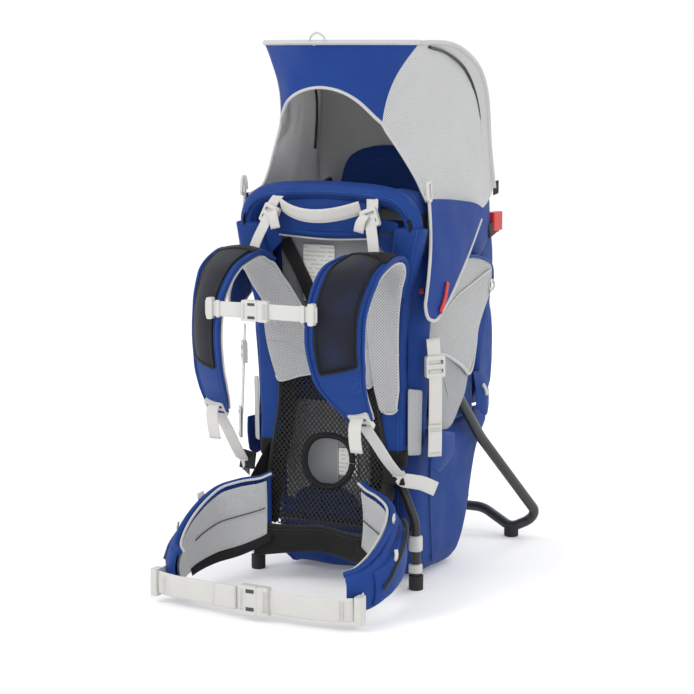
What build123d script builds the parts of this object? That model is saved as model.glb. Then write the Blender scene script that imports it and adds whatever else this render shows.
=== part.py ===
from build123d import *
import os
from math import atan2, cos, sin

# Child carrier backpack, standing on its front feet and its kickstand.
# Millimetres. +Z is up, -Y faces the wearer's back, +X is on the right when the
# harness is looked at. Shapes are drawn with Y = 0 on the front feet; save() moves
# them so that the row's origin is on the floor, under the middle of the carrier.

# ---- frame -------------------------------------------------------------------
FOOT_HALF = 150.0          # half of the front feet's spacing
FOOT_SOLE = 6.0            # rubber under the tube's end
ANKLE_Z = 112.0            # where the tubes start to run inward
WAIST_HALF = 112.0         # half spacing of the tubes behind the back panel
WAIST_LOW_Z = 205.0
WAIST_HIGH_Z = 430.0
SHOULDER_HALF = 152.0      # widest point of the flared top
SHOULDER_Z = 600.0
HOOP_HALF = 118.0          # where the top hoop turns in
HOOP_CORNER_Z = 640.0
HOOP_TOP_Z = 650.0
LEAN = 0.03                # the frame leans this much towards the wearer
TUBE_R = 8.0
BAR_R = 6.5                # cross bars
SLEEVE_GAP = 0.3           # between a tube and the padding sleeved over it
LOWER_BAR_Z = 100.0
UPPER_BAR_Z = 586.0

# ---- kickstand ---------------------------------------------------------------
PIVOT_Y = 60.0
PIVOT_Z = 387.0
LEG_R = 9.0
LEG_X = 142.0 + LEG_R      # leg centre; its inner side keeps clear of the pack
LEG_KNEE_Y = 250.0
LEG_KNEE_Z = 213.0
HEEL_HALF = 186.0          # outermost corner of the stand
HEEL_Y = 436.0
HEEL_Z = 38.0
STAND_FOOT_HALF = 140.0
STAND_FOOT_Y = 416.0
STAND_FOOT_LIFT = 16.0     # centre of the bar above the floor at its feet
BAR_RAISED_HALF = 80.0
BAR_RAISED_Z = 46.0
PIN_R = 4.0
RUNNING_GAP = 0.05         # radial clearance of the pivot

# ---- pack --------------------------------------------------------------------
PACK_HALF = 137.0          # half width of the bag and of the child cockpit
PACK_FRONT_Y = 18.0
PACK_REAR_Y = 345.0
BAG_FLOOR_Z = 4.0
BAG_TOP_Z = 252.0
COCKPIT_FLOOR_Z = 256.0
COCKPIT_TOP_Z = 604.0
COCKPIT_REAR_Y = 262.0
WALL = 6.0
RIM_WIDTH = 22.0
RIM_HEIGHT = 34.0
HEADREST_TOP_Z = 720.0
SIDE_GOODS_X = 168.0       # soft goods outside the kickstand's legs start here
SKIN = 2.5                 # fabric sheet

# ---- harness -----------------------------------------------------------------
STRAP_HALF_GAP = 96.0      # inner edge of a shoulder strap
STRAP_WIDTH = 64.0
STRAP_THICK = 13.0
YOKE_Y = -40.0
WEB = 2.0                  # webbing thickness
SMALL_WEB = 25.0           # webbing widths
BELT_WEB = 38.0
STERNUM_Z = 479.0
STERNUM_Y = -243.0
BELT_FRONT_Y = -286.0
BELT_BUCKLE_THICK = 13.0
BELT_WEB_Z = 34.0
WING_THICK = 20.0

# ---- sunshade ----------------------------------------------------------------
SHADE_TOP_Z = 891.0
SHADE_HALF = 155.0         # half width at the top
SHADE_SPLAY = 0.064        # the sides lean out by this much going down
SHADE_KNEE_Z = 620.0       # height of the border between mesh side and flap
SHADE_FRONT_Y = -78.0
WIRE_R = 4.0
SHADE_PIVOT_Y = 255.0
SHADE_PIVOT_Z = 636.0


# ---- helpers -----------------------------------------------------------------
def middle_y():
    # halfway between the belt buckle's front and the kickstand's rear
    rear = kickstand_tube().bounding_box().max.Y
    return (rear + BELT_FRONT_Y - BELT_BUCKLE_THICK / 2) / 2


def save(name, shape):
    solids = [Location((0, -ORIGIN_Y, 0)) * solid for solid in shape.solids()]
    body = solids[0] if len(solids) == 1 else Compound(children=solids)
    export_step(body, "parts/" + name + ".step")


def other_side(shape):
    return mirror(shape, about=Plane.YZ)


def group(*shapes):
    return Compound(children=[s for shape in shapes for s in shape.solids()])


def save_pair(name, right):
    save(name + "_right", right)
    save(name + "_left", other_side(right))


def save_both(name, right):
    save(name, group(right, other_side(right)))


def on_frame(x, z, back=0.0):
    return Vector(x, back - LEAN * z, z)


def mirrored_path(right_points):
    left = [Vector(-p.X, p.Y, p.Z) for p in reversed(right_points) if p.X > 0]
    return list(right_points) + left


def tube(points, radius, bends):
    path = FilletPolyline(*points, radius=bends)
    return sweep(Plane(origin=path @ 0, z_dir=path % 0) * Circle(radius), path=path)


def sleeve(points, bends, section):
    path = FilletPolyline(*points, radius=bends) if bends else Polyline(*points)
    start = Plane(origin=path @ 0, x_dir=(1, 0, 0), z_dir=path % 0)
    outer = sweep(start * section, path=path)
    return outer - sweep(start * Circle(TUBE_R + SLEEVE_GAP), path=path)


def ribbon(points, widths, thickness, across):
    # a strap or pad: ruled strips between cross sections set across its run
    points = [Vector(*p) for p in points]
    across = Vector(*across).normalized()
    if not isinstance(widths, (list, tuple)):
        widths = [widths] * len(points)
    if not isinstance(thickness, (list, tuple)):
        thickness = [thickness] * len(points)
    sections = []
    for i, centre in enumerate(points):
        run = points[min(i + 1, len(points) - 1)] - points[max(i - 1, 0)]
        face = (run - across * across.dot(run)).normalized().cross(across)
        w = across * (widths[i] / 2)
        t = face * (thickness[i] / 2)
        corners = [centre + w + t, centre - w + t, centre - w - t, centre + w - t]
        sections.append(make_face(Polyline(*corners, close=True)))
    return loft(sections, ruled=True)


def plate(outline, plane, thickness, corner=0.0):
    points = [plane.from_local_coords(Vector(a, b, 0)) for a, b in outline]
    if corner:
        edge = FilletPolyline(*points, radius=corner, close=True)
    else:
        edge = Polyline(*points, close=True)
    return extrude(make_face(edge), amount=thickness / 2, dir=plane.z_dir, both=True)


def block(x, y, z, corner=0.0):
    # a box from three (low, high) pairs, with rounded upright edges
    size = [b - a for a, b in (x, y, z)]
    centre = [(a + b) / 2 for a, b in (x, y, z)]
    solid = Pos(*centre) * Box(*size)
    return fillet(solid.edges().filter_by(Axis.Z), corner) if corner else solid


def cylinder_x(radius, x0, x1, y, z):
    return Pos((x0 + x1) / 2, y, z) * Rot(0, 90, 0) * Cylinder(radius, abs(x1 - x0))


def ladder_lock(centre, run, across, web_width, length=36.0):
    # flat plastic frame with three bars; the webbing threads through its two windows
    run = Vector(*run).normalized()
    side = Vector(*across)
    side = (side - run * side.dot(run)).normalized()
    plane = Plane(origin=Vector(*centre), x_dir=side, z_dir=side.cross(run))
    body = extrude(plane * RectangleRounded(web_width + 9, length, 4), amount=4, both=True)
    window = RectangleRounded(web_width + 2, length * 0.19, 1.5)
    for along in (-0.2, 0.2):
        body -= extrude(plane * Pos(0, length * along) * window, amount=6, both=True)
    return body


# ---- frame -------------------------------------------------------------------
FRAME_BENDS = [60, 60, 150, 28, 60, 300, 60, 28, 150, 60, 60]


def flare_x(z):
    rise = (z - WAIST_HIGH_Z) / (SHOULDER_Z - WAIST_HIGH_Z)
    return WAIST_HALF + (SHOULDER_HALF - WAIST_HALF) * rise


def frame_points():
    right = [
        Vector(FOOT_HALF, 0, FOOT_SOLE),
        on_frame(FOOT_HALF, ANKLE_Z),
        on_frame(WAIST_HALF, WAIST_LOW_Z),
        on_frame(WAIST_HALF, WAIST_HIGH_Z),
        on_frame(SHOULDER_HALF, SHOULDER_Z),
        on_frame(HOOP_HALF, HOOP_CORNER_Z),
        on_frame(0, HOOP_TOP_Z),
    ]
    return mirrored_path(right)


def frame_tube():
    return tube(frame_points(), TUBE_R, FRAME_BENDS)


BOOT_R = TUBE_R + 4
BOOT_HEIGHT = 24.0


def frame_foot(clear_of):
    boot = Pos(FOOT_HALF, 0, BOOT_HEIGHT / 2) * Cylinder(BOOT_R, BOOT_HEIGHT)
    return fillet(boot.edges().group_by(Axis.Z)[0], 2) - clear_of


def cross_bar(z, half, clear_of):
    y = -LEAN * z
    return cylinder_x(BAR_R, -half, half, y, z) - clear_of


RAIL_LOW_Z = 220.0
RAIL_HIGH_Z = 548.0
PATCH_LOW_Z = 549.0
PATCH_HIGH_Z = 584.0
HOOP_LOW_Z = 585.0
RAIL_WIDTH = 42.0
RAIL_DEPTH = 24.0
PAD_R = 19.0


def rail_cover():
    points = [
        on_frame(WAIST_HALF, RAIL_LOW_Z),
        on_frame(WAIST_HALF, WAIST_HIGH_Z),
        on_frame(flare_x(RAIL_HIGH_Z), RAIL_HIGH_Z),
    ]
    return sleeve(points, 150, RectangleRounded(RAIL_WIDTH, RAIL_DEPTH, 10))


def rail_end_cap():
    points = [on_frame(WAIST_HALF, RAIL_LOW_Z - 1), on_frame(WAIST_HALF, RAIL_LOW_Z - 4)]
    base = Plane(origin=points[0], x_dir=(1, 0, 0), z_dir=(0, LEAN, -1))
    cap = extrude(base * RectangleRounded(RAIL_WIDTH - 4, RAIL_DEPTH - 4, 8), amount=3)
    return cap - extrude(base * Circle(TUBE_R + SLEEVE_GAP), amount=3)


def corner_patch():
    points = [
        on_frame(flare_x(PATCH_LOW_Z), PATCH_LOW_Z),
        on_frame(flare_x(PATCH_HIGH_Z), PATCH_HIGH_Z),
    ]
    return sleeve(points, 0, RectangleRounded(RAIL_WIDTH - 2, RAIL_DEPTH + 4, 11))


def top_hoop_pad():
    right = [
        on_frame(flare_x(HOOP_LOW_Z), HOOP_LOW_Z),
        on_frame(SHOULDER_HALF, SHOULDER_Z),
        on_frame(HOOP_HALF, HOOP_CORNER_Z),
        on_frame(0, HOOP_TOP_Z),
    ]
    return sleeve(mirrored_path(right), [28, 60, 300, 60, 28], Circle(PAD_R))


PANEL_HALF = 92.0
PANEL_LOW_Z = 572.0
PANEL_HIGH_Z = 620.0


def cross_panel():
    y = -LEAN * UPPER_BAR_Z
    flat = block((-PANEL_HALF, PANEL_HALF), (y - 16, y + 9), (PANEL_LOW_Z, PANEL_HIGH_Z))
    flat = fillet(flat.edges().filter_by(Axis.X), 8)
    bore = cylinder_x(BAR_R + SLEEVE_GAP, -PANEL_HALF, PANEL_HALF, y, UPPER_BAR_Z)
    return flat - bore


# ---- back panel --------------------------------------------------------------
MESH_TOP_Z = 404.0
MESH_BOTTOM_Z = 96.0
HOLE_Z = 205.0
HOLE_HALF = 40.0
HOLE_RISE = 43.0
RIM = 10.0
MESH_THICK = 3.0


def mesh_sheet(thickness):
    stations = [
        (-30, MESH_TOP_Z, 96),
        (-24, 330, 92),
        (-22, 250, 101),
        (-34, 168, 110),
        (-50, MESH_BOTTOM_Z, 114),
    ]
    points = [(0, y, z) for y, z, _ in stations]
    widths = [2 * half for _, _, half in stations]
    return ribbon(points, widths, thickness, (1, 0, 0))


def shield(grow):
    # hand hole: flat top with round shoulders, narrowing to a round bottom
    a = HOLE_HALF + grow
    top = HOLE_Z + HOLE_RISE + grow
    low = HOLE_Z - HOLE_RISE - grow
    outline = [
        (-a, top), (a, top), (a, HOLE_Z - 8), (a * 0.45, low), (-a * 0.45, low), (-a, HOLE_Z - 8),
    ]
    return plate(outline, Plane.XZ, 160, corner=14)


def back_panel_mesh():
    return mesh_sheet(MESH_THICK) - shield(RIM)


def hole_rim():
    return mesh_sheet(MESH_THICK + 2) & (shield(RIM) - shield(0))


LUMBAR_LOW_Z = 46.0
LUMBAR_HALF = 112.0


def lumbar_pad():
    height = MESH_BOTTOM_Z - 1 - LUMBAR_LOW_Z
    mid = LUMBAR_LOW_Z + height / 2
    points = [(-LUMBAR_HALF, -74, mid), (-60, -57, mid), (0, -52, mid)]
    points += [(60, -57, mid), (LUMBAR_HALF, -74, mid)]
    return ribbon(points, height, 9, (0, 0, 1))


# ---- kickstand ---------------------------------------------------------------
BOSS_HALF = LEG_R + 0.2
BOSS_R = 13.0
BRACKET_THICK = 3.0
BRACKET_X = LEG_X - BOSS_HALF - 0.3 - BRACKET_THICK


EYE_REACH = 18.0           # from the pivot to the end of the leg's tube


def leg_direction():
    return (Vector(LEG_X, LEG_KNEE_Y, LEG_KNEE_Z) - Vector(LEG_X, PIVOT_Y, PIVOT_Z)).normalized()


def kickstand_tube():
    right = [
        Vector(LEG_X, PIVOT_Y, PIVOT_Z) + leg_direction() * EYE_REACH,
        Vector(LEG_X, LEG_KNEE_Y, LEG_KNEE_Z),
        Vector(HEEL_HALF, HEEL_Y, HEEL_Z),
        Vector(STAND_FOOT_HALF, STAND_FOOT_Y, STAND_FOOT_LIFT),
        Vector(BAR_RAISED_HALF, STAND_FOOT_Y + 8, BAR_RAISED_Z),
    ]
    return tube(mirrored_path(right), LEG_R, [250, 26, 22, 60, 60, 22, 26, 250])


def kickstand_eye():
    # end fitting pressed into the leg, which turns on the pivot pin
    x = (LEG_X - BOSS_HALF, LEG_X + BOSS_HALF)
    ring = cylinder_x(BOSS_R, x[0], x[1], PIVOT_Y, PIVOT_Z)
    down = leg_direction()
    neck_plane = Plane(
        origin=Vector(LEG_X, PIVOT_Y, PIVOT_Z) + down * (PIN_R + 3), x_dir=(1, 0, 0), z_dir=down
    )
    neck = extrude(neck_plane * Circle(LEG_R - 1), amount=EYE_REACH - PIN_R - 3)
    bore = cylinder_x(PIN_R + RUNNING_GAP, x[0] - 5, x[1] + 5, PIVOT_Y, PIVOT_Z)
    return ring + neck - bore


def kickstand_foot(bar):
    sole = Pos(STAND_FOOT_HALF, STAND_FOOT_Y, 11) * Cylinder(LEG_R + 4, 22)
    sole = fillet(sole.edges().group_by(Axis.Z)[0], 2)
    return sole - bar


def kickstand_bracket(frame):
    half = 17.0
    z = (PIVOT_Z - half, PIVOT_Z + half)
    rail_y = -LEAN * PIVOT_Z
    arm_back = rail_y + RAIL_DEPTH / 2 + 4
    ear = block((BRACKET_X, BRACKET_X + BRACKET_THICK), (arm_back - 3, PIVOT_Y + 16), z)
    arm = block((WAIST_HALF - 8, BRACKET_X + BRACKET_THICK), (arm_back - 3, arm_back), z)
    saddle_x = (WAIST_HALF - 8, WAIST_HALF + 8)
    saddle = block(saddle_x, (rail_y, arm_back), (PIVOT_Z - 10, PIVOT_Z + 10))
    hole = cylinder_x(PIN_R + RUNNING_GAP, BRACKET_X - 1, LEG_X, PIVOT_Y, PIVOT_Z)
    return ear + arm + saddle - hole - frame


def kickstand_pin():
    head_x = LEG_X + BOSS_HALF + 0.3
    shank = cylinder_x(PIN_R, BRACKET_X, head_x, PIVOT_Y, PIVOT_Z)
    return shank + cylinder_x(7.5, head_x, head_x + 3, PIVOT_Y, PIVOT_Z)


# ---- bag, cockpit and child seat ---------------------------------------------
def rear_edges(solid, front_y):
    # the edges of a side-to-side plate that run up its rear, behind front_y
    return [e for e in solid.edges() if abs((e % 0.5).X) < 0.01 and (e @ 0.5).Y > front_y]


def lower_bag():
    rear = PACK_REAR_Y
    outline = [
        (PACK_FRONT_Y + 14, BAG_FLOOR_Z + 22), (PACK_FRONT_Y + 60, BAG_FLOOR_Z),
        (rear - 135, BAG_FLOOR_Z), (rear - 97, 44), (rear - 62, 140), (rear - 46, 200),
        (rear, BAG_TOP_Z), (PACK_FRONT_Y, BAG_TOP_Z), (PACK_FRONT_Y, 120),
    ]
    side = plate(outline, Plane.YZ, 2 * PACK_HALF)
    return fillet(rear_edges(side, PACK_REAR_Y - 150), 12)


LEG_HOLE_Y = (32.0, 150.0)
LEG_HOLE_Z = (272.0, 350.0)


def cockpit_shell():
    y = (PACK_FRONT_Y, COCKPIT_REAR_Y)
    z = (COCKPIT_FLOOR_Z, COCKPIT_TOP_Z)
    outer = block((-PACK_HALF, PACK_HALF), y, z, corner=14)
    inner = block(
        (-PACK_HALF + WALL, PACK_HALF - WALL),
        (y[0] + WALL, y[1] - WALL),
        (z[0] + WALL, z[1] + 1),
        corner=10,
    )
    legs = block((-PACK_HALF - 5, PACK_HALF + 5), LEG_HOLE_Y, LEG_HOLE_Z)
    legs = fillet(legs.edges().filter_by(Axis.X), 20)
    return outer - inner - legs


def cockpit_rim():
    z = (COCKPIT_TOP_Z + 0.5, COCKPIT_TOP_Z + 0.5 + RIM_HEIGHT)
    rear = COCKPIT_REAR_Y - 4
    outer = block((-PACK_HALF, PACK_HALF), (110, rear), z, corner=18)
    half = PACK_HALF - RIM_WIDTH
    inner = block((-half, half), (90, rear - RIM_WIDTH), (z[0] - 1, z[1] + 1), corner=12)
    return outer - inner


def rear_pack():
    low = BAG_TOP_Z + 4
    top = SHADE_PIVOT_Z - 10
    outline = [
        (COCKPIT_REAR_Y + 1, low), (PACK_REAR_Y, low), (PACK_REAR_Y - 3, 351),
        (PACK_REAR_Y + 6, 440), (PACK_REAR_Y + 2, 560), (PACK_REAR_Y - 20, top - 16),
        (PACK_REAR_Y - 45, top), (COCKPIT_REAR_Y + 1, top),
    ]
    side = plate(outline, Plane.YZ, 2 * PACK_HALF)
    pouch = fillet(rear_edges(side, PACK_REAR_Y - 60), 10)
    wing = side_wing()
    return pouch + wing + other_side(wing)


def headrest():
    z0 = COCKPIT_TOP_Z + 2
    half = PACK_HALF - RIM_WIDTH - 7
    outline = [(-half, z0), (half, z0), (half, z0 + 50), (58, HEADREST_TOP_Z)]
    outline += [(-58, HEADREST_TOP_Z), (-half, z0 + 50)]
    plane = Plane(origin=(0, 218, 0), x_dir=(1, 0, 0), z_dir=(0, -1, 0))
    return plate(outline, plane, 30, corner=12)


SEAT_Z = 352.0
SEAT_BACK_Y = 238.0


def seat_pad():
    return block((-84, 84), (62, SEAT_BACK_Y), (SEAT_Z - 16, SEAT_Z), corner=20)


def seat_back():
    back = block((-92, 92), (SEAT_BACK_Y + 0.2, SEAT_BACK_Y + 14), (SEAT_Z - 16, 560))
    return fillet(back.edges().filter_by(Axis.Y), 24)


def child_strap():
    points = [(38, SEAT_BACK_Y - 2, 540), (37, 214, 532), (34, 200, 500)]
    points += [(30, 196, 460), (27, 196, 425)]
    return ribbon(points, 34, 6, (1, 0, 0))


def child_chest_buckle():
    plane = Plane(origin=(0, 196, 462), x_dir=(1, 0, 0), z_dir=(0, -1, 0))
    return extrude(plane * RectangleRounded(24, 30, 5), amount=5, both=True)


def harness_tab():
    return block((98, 112), (132, 150), (SHADE_PIVOT_Z + 4, SHADE_PIVOT_Z + 20), corner=3)


def side_pocket():
    outline = [
        (52, 536), (169, 538), (273, 516), (290, 465), (272, 398), (212, 300),
        (172, 272), (114, 304), (55, 330), (24, 345), (30, 440),
    ]
    plane = Plane(origin=(SIDE_GOODS_X + 6, 0, 0), x_dir=(0, 1, 0), z_dir=(1, 0, 0))
    return plate(outline, plane, SKIN)


def side_wing():
    # quilted band from the mesh pocket up to the sunshade's foot
    outline = [(186, 560), (180, 596), (215, 640), (262, 646), (292, 606), (296, 560), (240, 545)]
    plane = Plane(origin=(PACK_HALF + 3, 0, 0), x_dir=(0, 1, 0), z_dir=(1, 0, 0))
    return plate(outline, plane, 6)


def rear_buckle():
    rear = PACK_REAR_Y - 8
    return block((PACK_HALF + 0.2, PACK_HALF + 14), (rear - 36, rear), (567, 599), corner=3)


def care_label():
    return block((-66, -6), (PACK_FRONT_Y - 1.4, PACK_FRONT_Y - 0.2), (464, 560))


SIDE_WEB_REAR_Y = 16.0     # rear edge of the side strap, ahead of the mesh pocket
SIDE_WEB_ACROSS = (0.6, 0.8, 0)


def side_strap():
    x = SIDE_GOODS_X + 12
    y = SIDE_WEB_REAR_Y - SMALL_WEB * SIDE_WEB_ACROSS[1] / 2
    points = [(x - 2, y - 2, 410), (x - 1, y, 376), (x, y - 2, 320), (x + 2, y - 6, 226)]
    return ribbon(points, SMALL_WEB, WEB, SIDE_WEB_ACROSS)


def side_strap_lock():
    y = SIDE_WEB_REAR_Y - SMALL_WEB * SIDE_WEB_ACROSS[1] / 2
    return ladder_lock((SIDE_GOODS_X + 11, y, 372), (0, 0.02, -1), SIDE_WEB_ACROSS, SMALL_WEB)


def stirrup():
    outline = [(4, 262), (96, 250), (90, 208), (40, 190), (10, 200)]
    plane = Plane(origin=(SIDE_GOODS_X + 4, 0, 0), x_dir=(0, 1, 0), z_dir=(1, 0, 0))
    return plate(outline, plane, 8, corner=6)


# ---- harness -----------------------------------------------------------------
STRAP_X = STRAP_HALF_GAP + STRAP_WIDTH / 2
YOKE_TOP_Z = 498.0
STRAP_RUN = [
    (YOKE_Y, YOKE_TOP_Z + 1), (-43, 532), (-60, 548), (-120, 546), (-180, 524),
    (-222, 482), (-236, 430), (-220, 378), (-186, 342), (-170, 330),
]


def shoulder_strap():
    points = [(STRAP_X, y, z) for y, z in STRAP_RUN]
    return ribbon(points, STRAP_WIDTH, STRAP_THICK, (1, 0, 0))


def yoke_pad():
    low, waist, top = 331.0, 405.0, YOKE_TOP_Z
    outer = STRAP_HALF_GAP + STRAP_WIDTH - 6
    right = [(92, low), (106, waist), (outer, top), (STRAP_HALF_GAP + 2, top), (34, 424)]
    left = [(-x, z) for x, z in reversed(right)]
    plane = Plane(origin=(0, YOKE_Y, 0), x_dir=(1, 0, 0), z_dir=(0, -1, 0))
    return plate(right + left, plane, STRAP_THICK)


LOCK_CENTRE = (STRAP_X + 4, -160.0, 306.0)
ANCHOR = (146.0, -56.0, 200.0)


def shoulder_lock():
    run = Vector(*ANCHOR) - Vector(*LOCK_CENTRE)
    return ladder_lock(LOCK_CENTRE, run, (1, 0, 0), SMALL_WEB)


def shoulder_web():
    start, end = Vector(*LOCK_CENTRE), Vector(*ANCHOR)
    return ribbon([start, (start + end) / 2, end], SMALL_WEB, WEB, (1, 0, 0))


def stabiliser_tail():
    points = [(150, -52, 194), (166, -18, 184), (176, 16, 168)]
    return ribbon(points, SMALL_WEB, WEB, (0, 0, 1))


LIFTER_LOCK = (92.0, -54.0, 612.0)


def load_lifter_web():
    points = [LIFTER_LOCK, (102, -58, 588), (108, -66, 564)]
    return ribbon(points, 20, WEB, (1, 0, 0))


def load_lifter_lock():
    return ladder_lock(LIFTER_LOCK, (10, -4, -24), (1, 0, 0), 20, length=32)


HANDLE_HALF = 71.0         # where the handle's ends are sewn under the hoop
HANDLE_Y = -49.5
HANDLE_Z = 628.0
HANDLE_REACH = 24.0        # how far its middle stands forward of its ends
HANDLE_SAG = 14.0
HANDLE_WIDTH = 18.0
HANDLE_THICKNESS = 4.0


def grab_handle():
    points = []
    for share in (-1, -0.7, -0.35, 0, 0.35, 0.7, 1):
        bow = 1 - share**2
        y = HANDLE_Y - HANDLE_REACH * bow
        points.append((share * HANDLE_HALF, y, HANDLE_Z - HANDLE_SAG * bow))
    return ribbon(points, HANDLE_WIDTH, HANDLE_THICKNESS, (0, -0.5, 1))


def sternum_web(x0, x1):
    ends = [(x0, STERNUM_Y, STERNUM_Z), (x1, STERNUM_Y, STERNUM_Z)]
    return ribbon(ends, SMALL_WEB, WEB, (0, 0, 1))


SLIDER_WIDTH = 11.0


def sternum_slider():
    x0 = STRAP_HALF_GAP - SLIDER_WIDTH
    y = (STERNUM_Y - 5, STERNUM_Y + 5)
    slider = block((x0, STRAP_HALF_GAP - 0.6), y, (STERNUM_Z - 17, STERNUM_Z + 17))
    return fillet(slider.edges().filter_by(Axis.Y), 3)


def buckle(x0, x_join, x1, y, z, width, thick, tongue):
    # side-release buckle: socket from x0 to x_join, plug from x_join to x1
    half = width / 2
    socket = block((x0, x_join), (y - thick / 2, y + thick / 2), (z - half, z + half))
    socket = fillet(socket.edges().filter_by(Axis.Y), 3)
    reach = x_join - tongue
    throat_y = (y - thick * 0.28, y + thick * 0.28)
    throat = block((reach, x_join), throat_y, (z - half * 0.6, z + half * 0.6))
    plug = block((x_join + 0.3, x1), (y - thick / 2, y + thick / 2), (z - half, z + half))
    plug = fillet(plug.edges().filter_by(Axis.Y), 3)
    arms = []
    for side in (-1, 1):
        a, b = sorted((side * half * 0.22, side * half * 0.5))
        arm_y = (y - thick * 0.2, y + thick * 0.2)
        arms.append(block((reach + 1, x_join + 1), arm_y, (z + a, z + b)))
    return socket - throat, plug + arms[0] + arms[1]


# ---- hip belt ----------------------------------------------------------------
WING_RUN = [
    (122, -78, 112, 112), (142, -102, 106, 124), (168, -150, 86, 126),
    (186, -204, 62, 104), (184, -250, 42, 66),
]


def hip_wing():
    points = [(x, y, z) for x, y, z, _ in WING_RUN]
    heights = [h for _, _, _, h in WING_RUN]
    return ribbon(points, heights, WING_THICK, (0, 0, 1))


def belt_loop():
    return block((178, 190), (BELT_FRONT_Y + 12, -253), (BELT_WEB_Z - 22, BELT_WEB_Z + 22), corner=3)


def belt_web(points):
    return ribbon(points, BELT_WEB, WEB * 1.5, (0, 0, 1))


def hip_zip_pull():
    return block((188, 191), (-176, -170), (92, 112))


# ---- sunshade ----------------------------------------------------------------
def shade_plane(x_low):
    lean = atan2(SHADE_SPLAY, 1.0)
    return Plane(origin=(x_low, 0, SHADE_KNEE_Z), x_dir=(0, 1, 0), z_dir=(cos(lean), 0, sin(lean)))


SHEET_HALF = SHADE_HALF - WIRE_R - 1.2         # side sheets hang inside the wire
SHADE_LOW_HALF = SHEET_HALF + SHADE_SPLAY * (SHADE_TOP_Z - SHADE_KNEE_Z)


def wire_x(z):
    return SHADE_HALF + 1 + SHADE_SPLAY * (SHADE_TOP_Z - z)


SHADE_DRAWN_RISE = 255.0   # height of the heights below; lifted() fits them to the top


def lifted(z):
    share = (SHADE_TOP_Z - SHADE_PIVOT_Z) / SHADE_DRAWN_RISE
    return SHADE_PIVOT_Z + (z - SHADE_PIVOT_Z) * share


SIDE_RISE = [(108, 874), (184, 840), (240, 792), (260, 742), (258, 692), (252, 644)]


def shade_wire():
    side = [(SHADE_PIVOT_Y, SHADE_PIVOT_Z), (269, 720), (240, 812), (140, 872), (30, 891)]
    right = [Vector(wire_x(lifted(z)), y, lifted(z)) for y, z in side]
    right += [Vector(118, -30, SHADE_TOP_Z), Vector(0, SHADE_FRONT_Y, SHADE_TOP_Z)]
    bends = [60, 80, 150, 60, 150, 200, 150, 60, 150, 80, 60]
    return tube(mirrored_path(right), WIRE_R, bends)


ARCH = [(152, 676), (134, 710), (109, 750), (66, 790), (0, 818)]


def shade_front():
    top = SHADE_TOP_Z - WIRE_R - 1
    low = lifted(ARCH[0][1])
    right = [(SHEET_HALF - 2, 28), (112, -24), (64, -56), (0, -71)]
    run = right + [(-x, y) for x, y in reversed(right) if x > 0]
    points = [(x, y, (top + low) / 2) for x, y in run]
    sheet = ribbon(points, top - low, SKIN, (0, 0, 1))
    below = [(-x, lifted(z)) for x, z in ARCH] + [(x, lifted(z)) for x, z in reversed(ARCH[:-1])]
    below += [(200, 600), (-200, 600)]
    cut = plate(below, Plane(origin=(0, 0, 0), x_dir=(1, 0, 0), z_dir=(0, -1, 0)), 400)
    return sheet - cut


def shade_side():
    outline = [(44, SHADE_TOP_Z - 6)] + [(y, lifted(z)) for y, z in SIDE_RISE]
    outline += [(200, 606), (26, 636), (8, 660), (32, 700)]
    local = [(y, z - SHADE_KNEE_Z) for y, z in outline]
    return plate(local, shade_plane(SHADE_LOW_HALF), SKIN)


def shade_roof():
    half = SHEET_HALF - 3
    run = [(-40, 884), (50, 883), (118, 866), (184, 836), (236, 790), (260, 742), (262, 672)]
    points = [(0, y, lifted(z)) for y, z in run]
    widths = [2 * 78] + [2 * half] * (len(run) - 1)
    return ribbon(points, widths, SKIN, (1, 0, 0))


def shade_flap():
    outline = [
        (24, 632), (8, 576), (-20, 514), (-37, 478), (-30, 456), (-6, 449), (16, 456),
        (110, 522), (169, 566), (198, 602),
    ]
    local = [(y, z - SHADE_KNEE_Z) for y, z in outline]
    return plate(local, shade_plane(SHADE_LOW_HALF + 7), SKIN)


def shade_tab():
    outline = [(30, 506), (42, 502), (14, 458), (2, 462)]
    local = [(y, z - SHADE_KNEE_Z) for y, z in outline]
    return plate(local, shade_plane(SHADE_LOW_HALF + 10.5), 3)


def shade_hook():
    plane = shade_plane(SHADE_LOW_HALF + 7)
    ring = extrude(plane * Pos(-4, 34) * RectangleRounded(14, 34, 6.5), amount=2, both=True)
    return ring - extrude(plane * Pos(-4, 34) * RectangleRounded(7, 26, 3), amount=4, both=True)


# ---- build -------------------------------------------------------------------
def build_frame():
    frame = frame_tube()
    save("frame_tube", frame)
    clear = tube(frame_points(), TUBE_R + 0.2, FRAME_BENDS)
    save_both("frame_feet", frame_foot(clear))
    lower = cross_bar(LOWER_BAR_Z, FOOT_HALF, clear)
    upper = cross_bar(UPPER_BAR_Z, flare_x(UPPER_BAR_Z), clear)
    save("cross_bars", group(lower, upper))
    pad = top_hoop_pad()
    save("top_hoop_pad", pad - upper)
    bracket = kickstand_bracket(clear)
    save_both("rail_covers", rail_cover() - bracket)
    save_both("rail_end_caps", rail_end_cap())
    save_both("corner_patches", corner_patch() - upper)
    save("cross_panel", cross_panel() - pad)
    save_both("kickstand_brackets", bracket)
    save_both("kickstand_pins", kickstand_pin())


def build_back_panel():
    save("back_panel_mesh", back_panel_mesh())
    save("hand_hole_rim", hole_rim())
    save("lumbar_pad", lumbar_pad())


def build_kickstand():
    stand = kickstand_tube()
    eye = kickstand_eye()
    save("kickstand_tube", group(stand, eye, other_side(eye)))
    save_both("kickstand_feet", kickstand_foot(stand))


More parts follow.
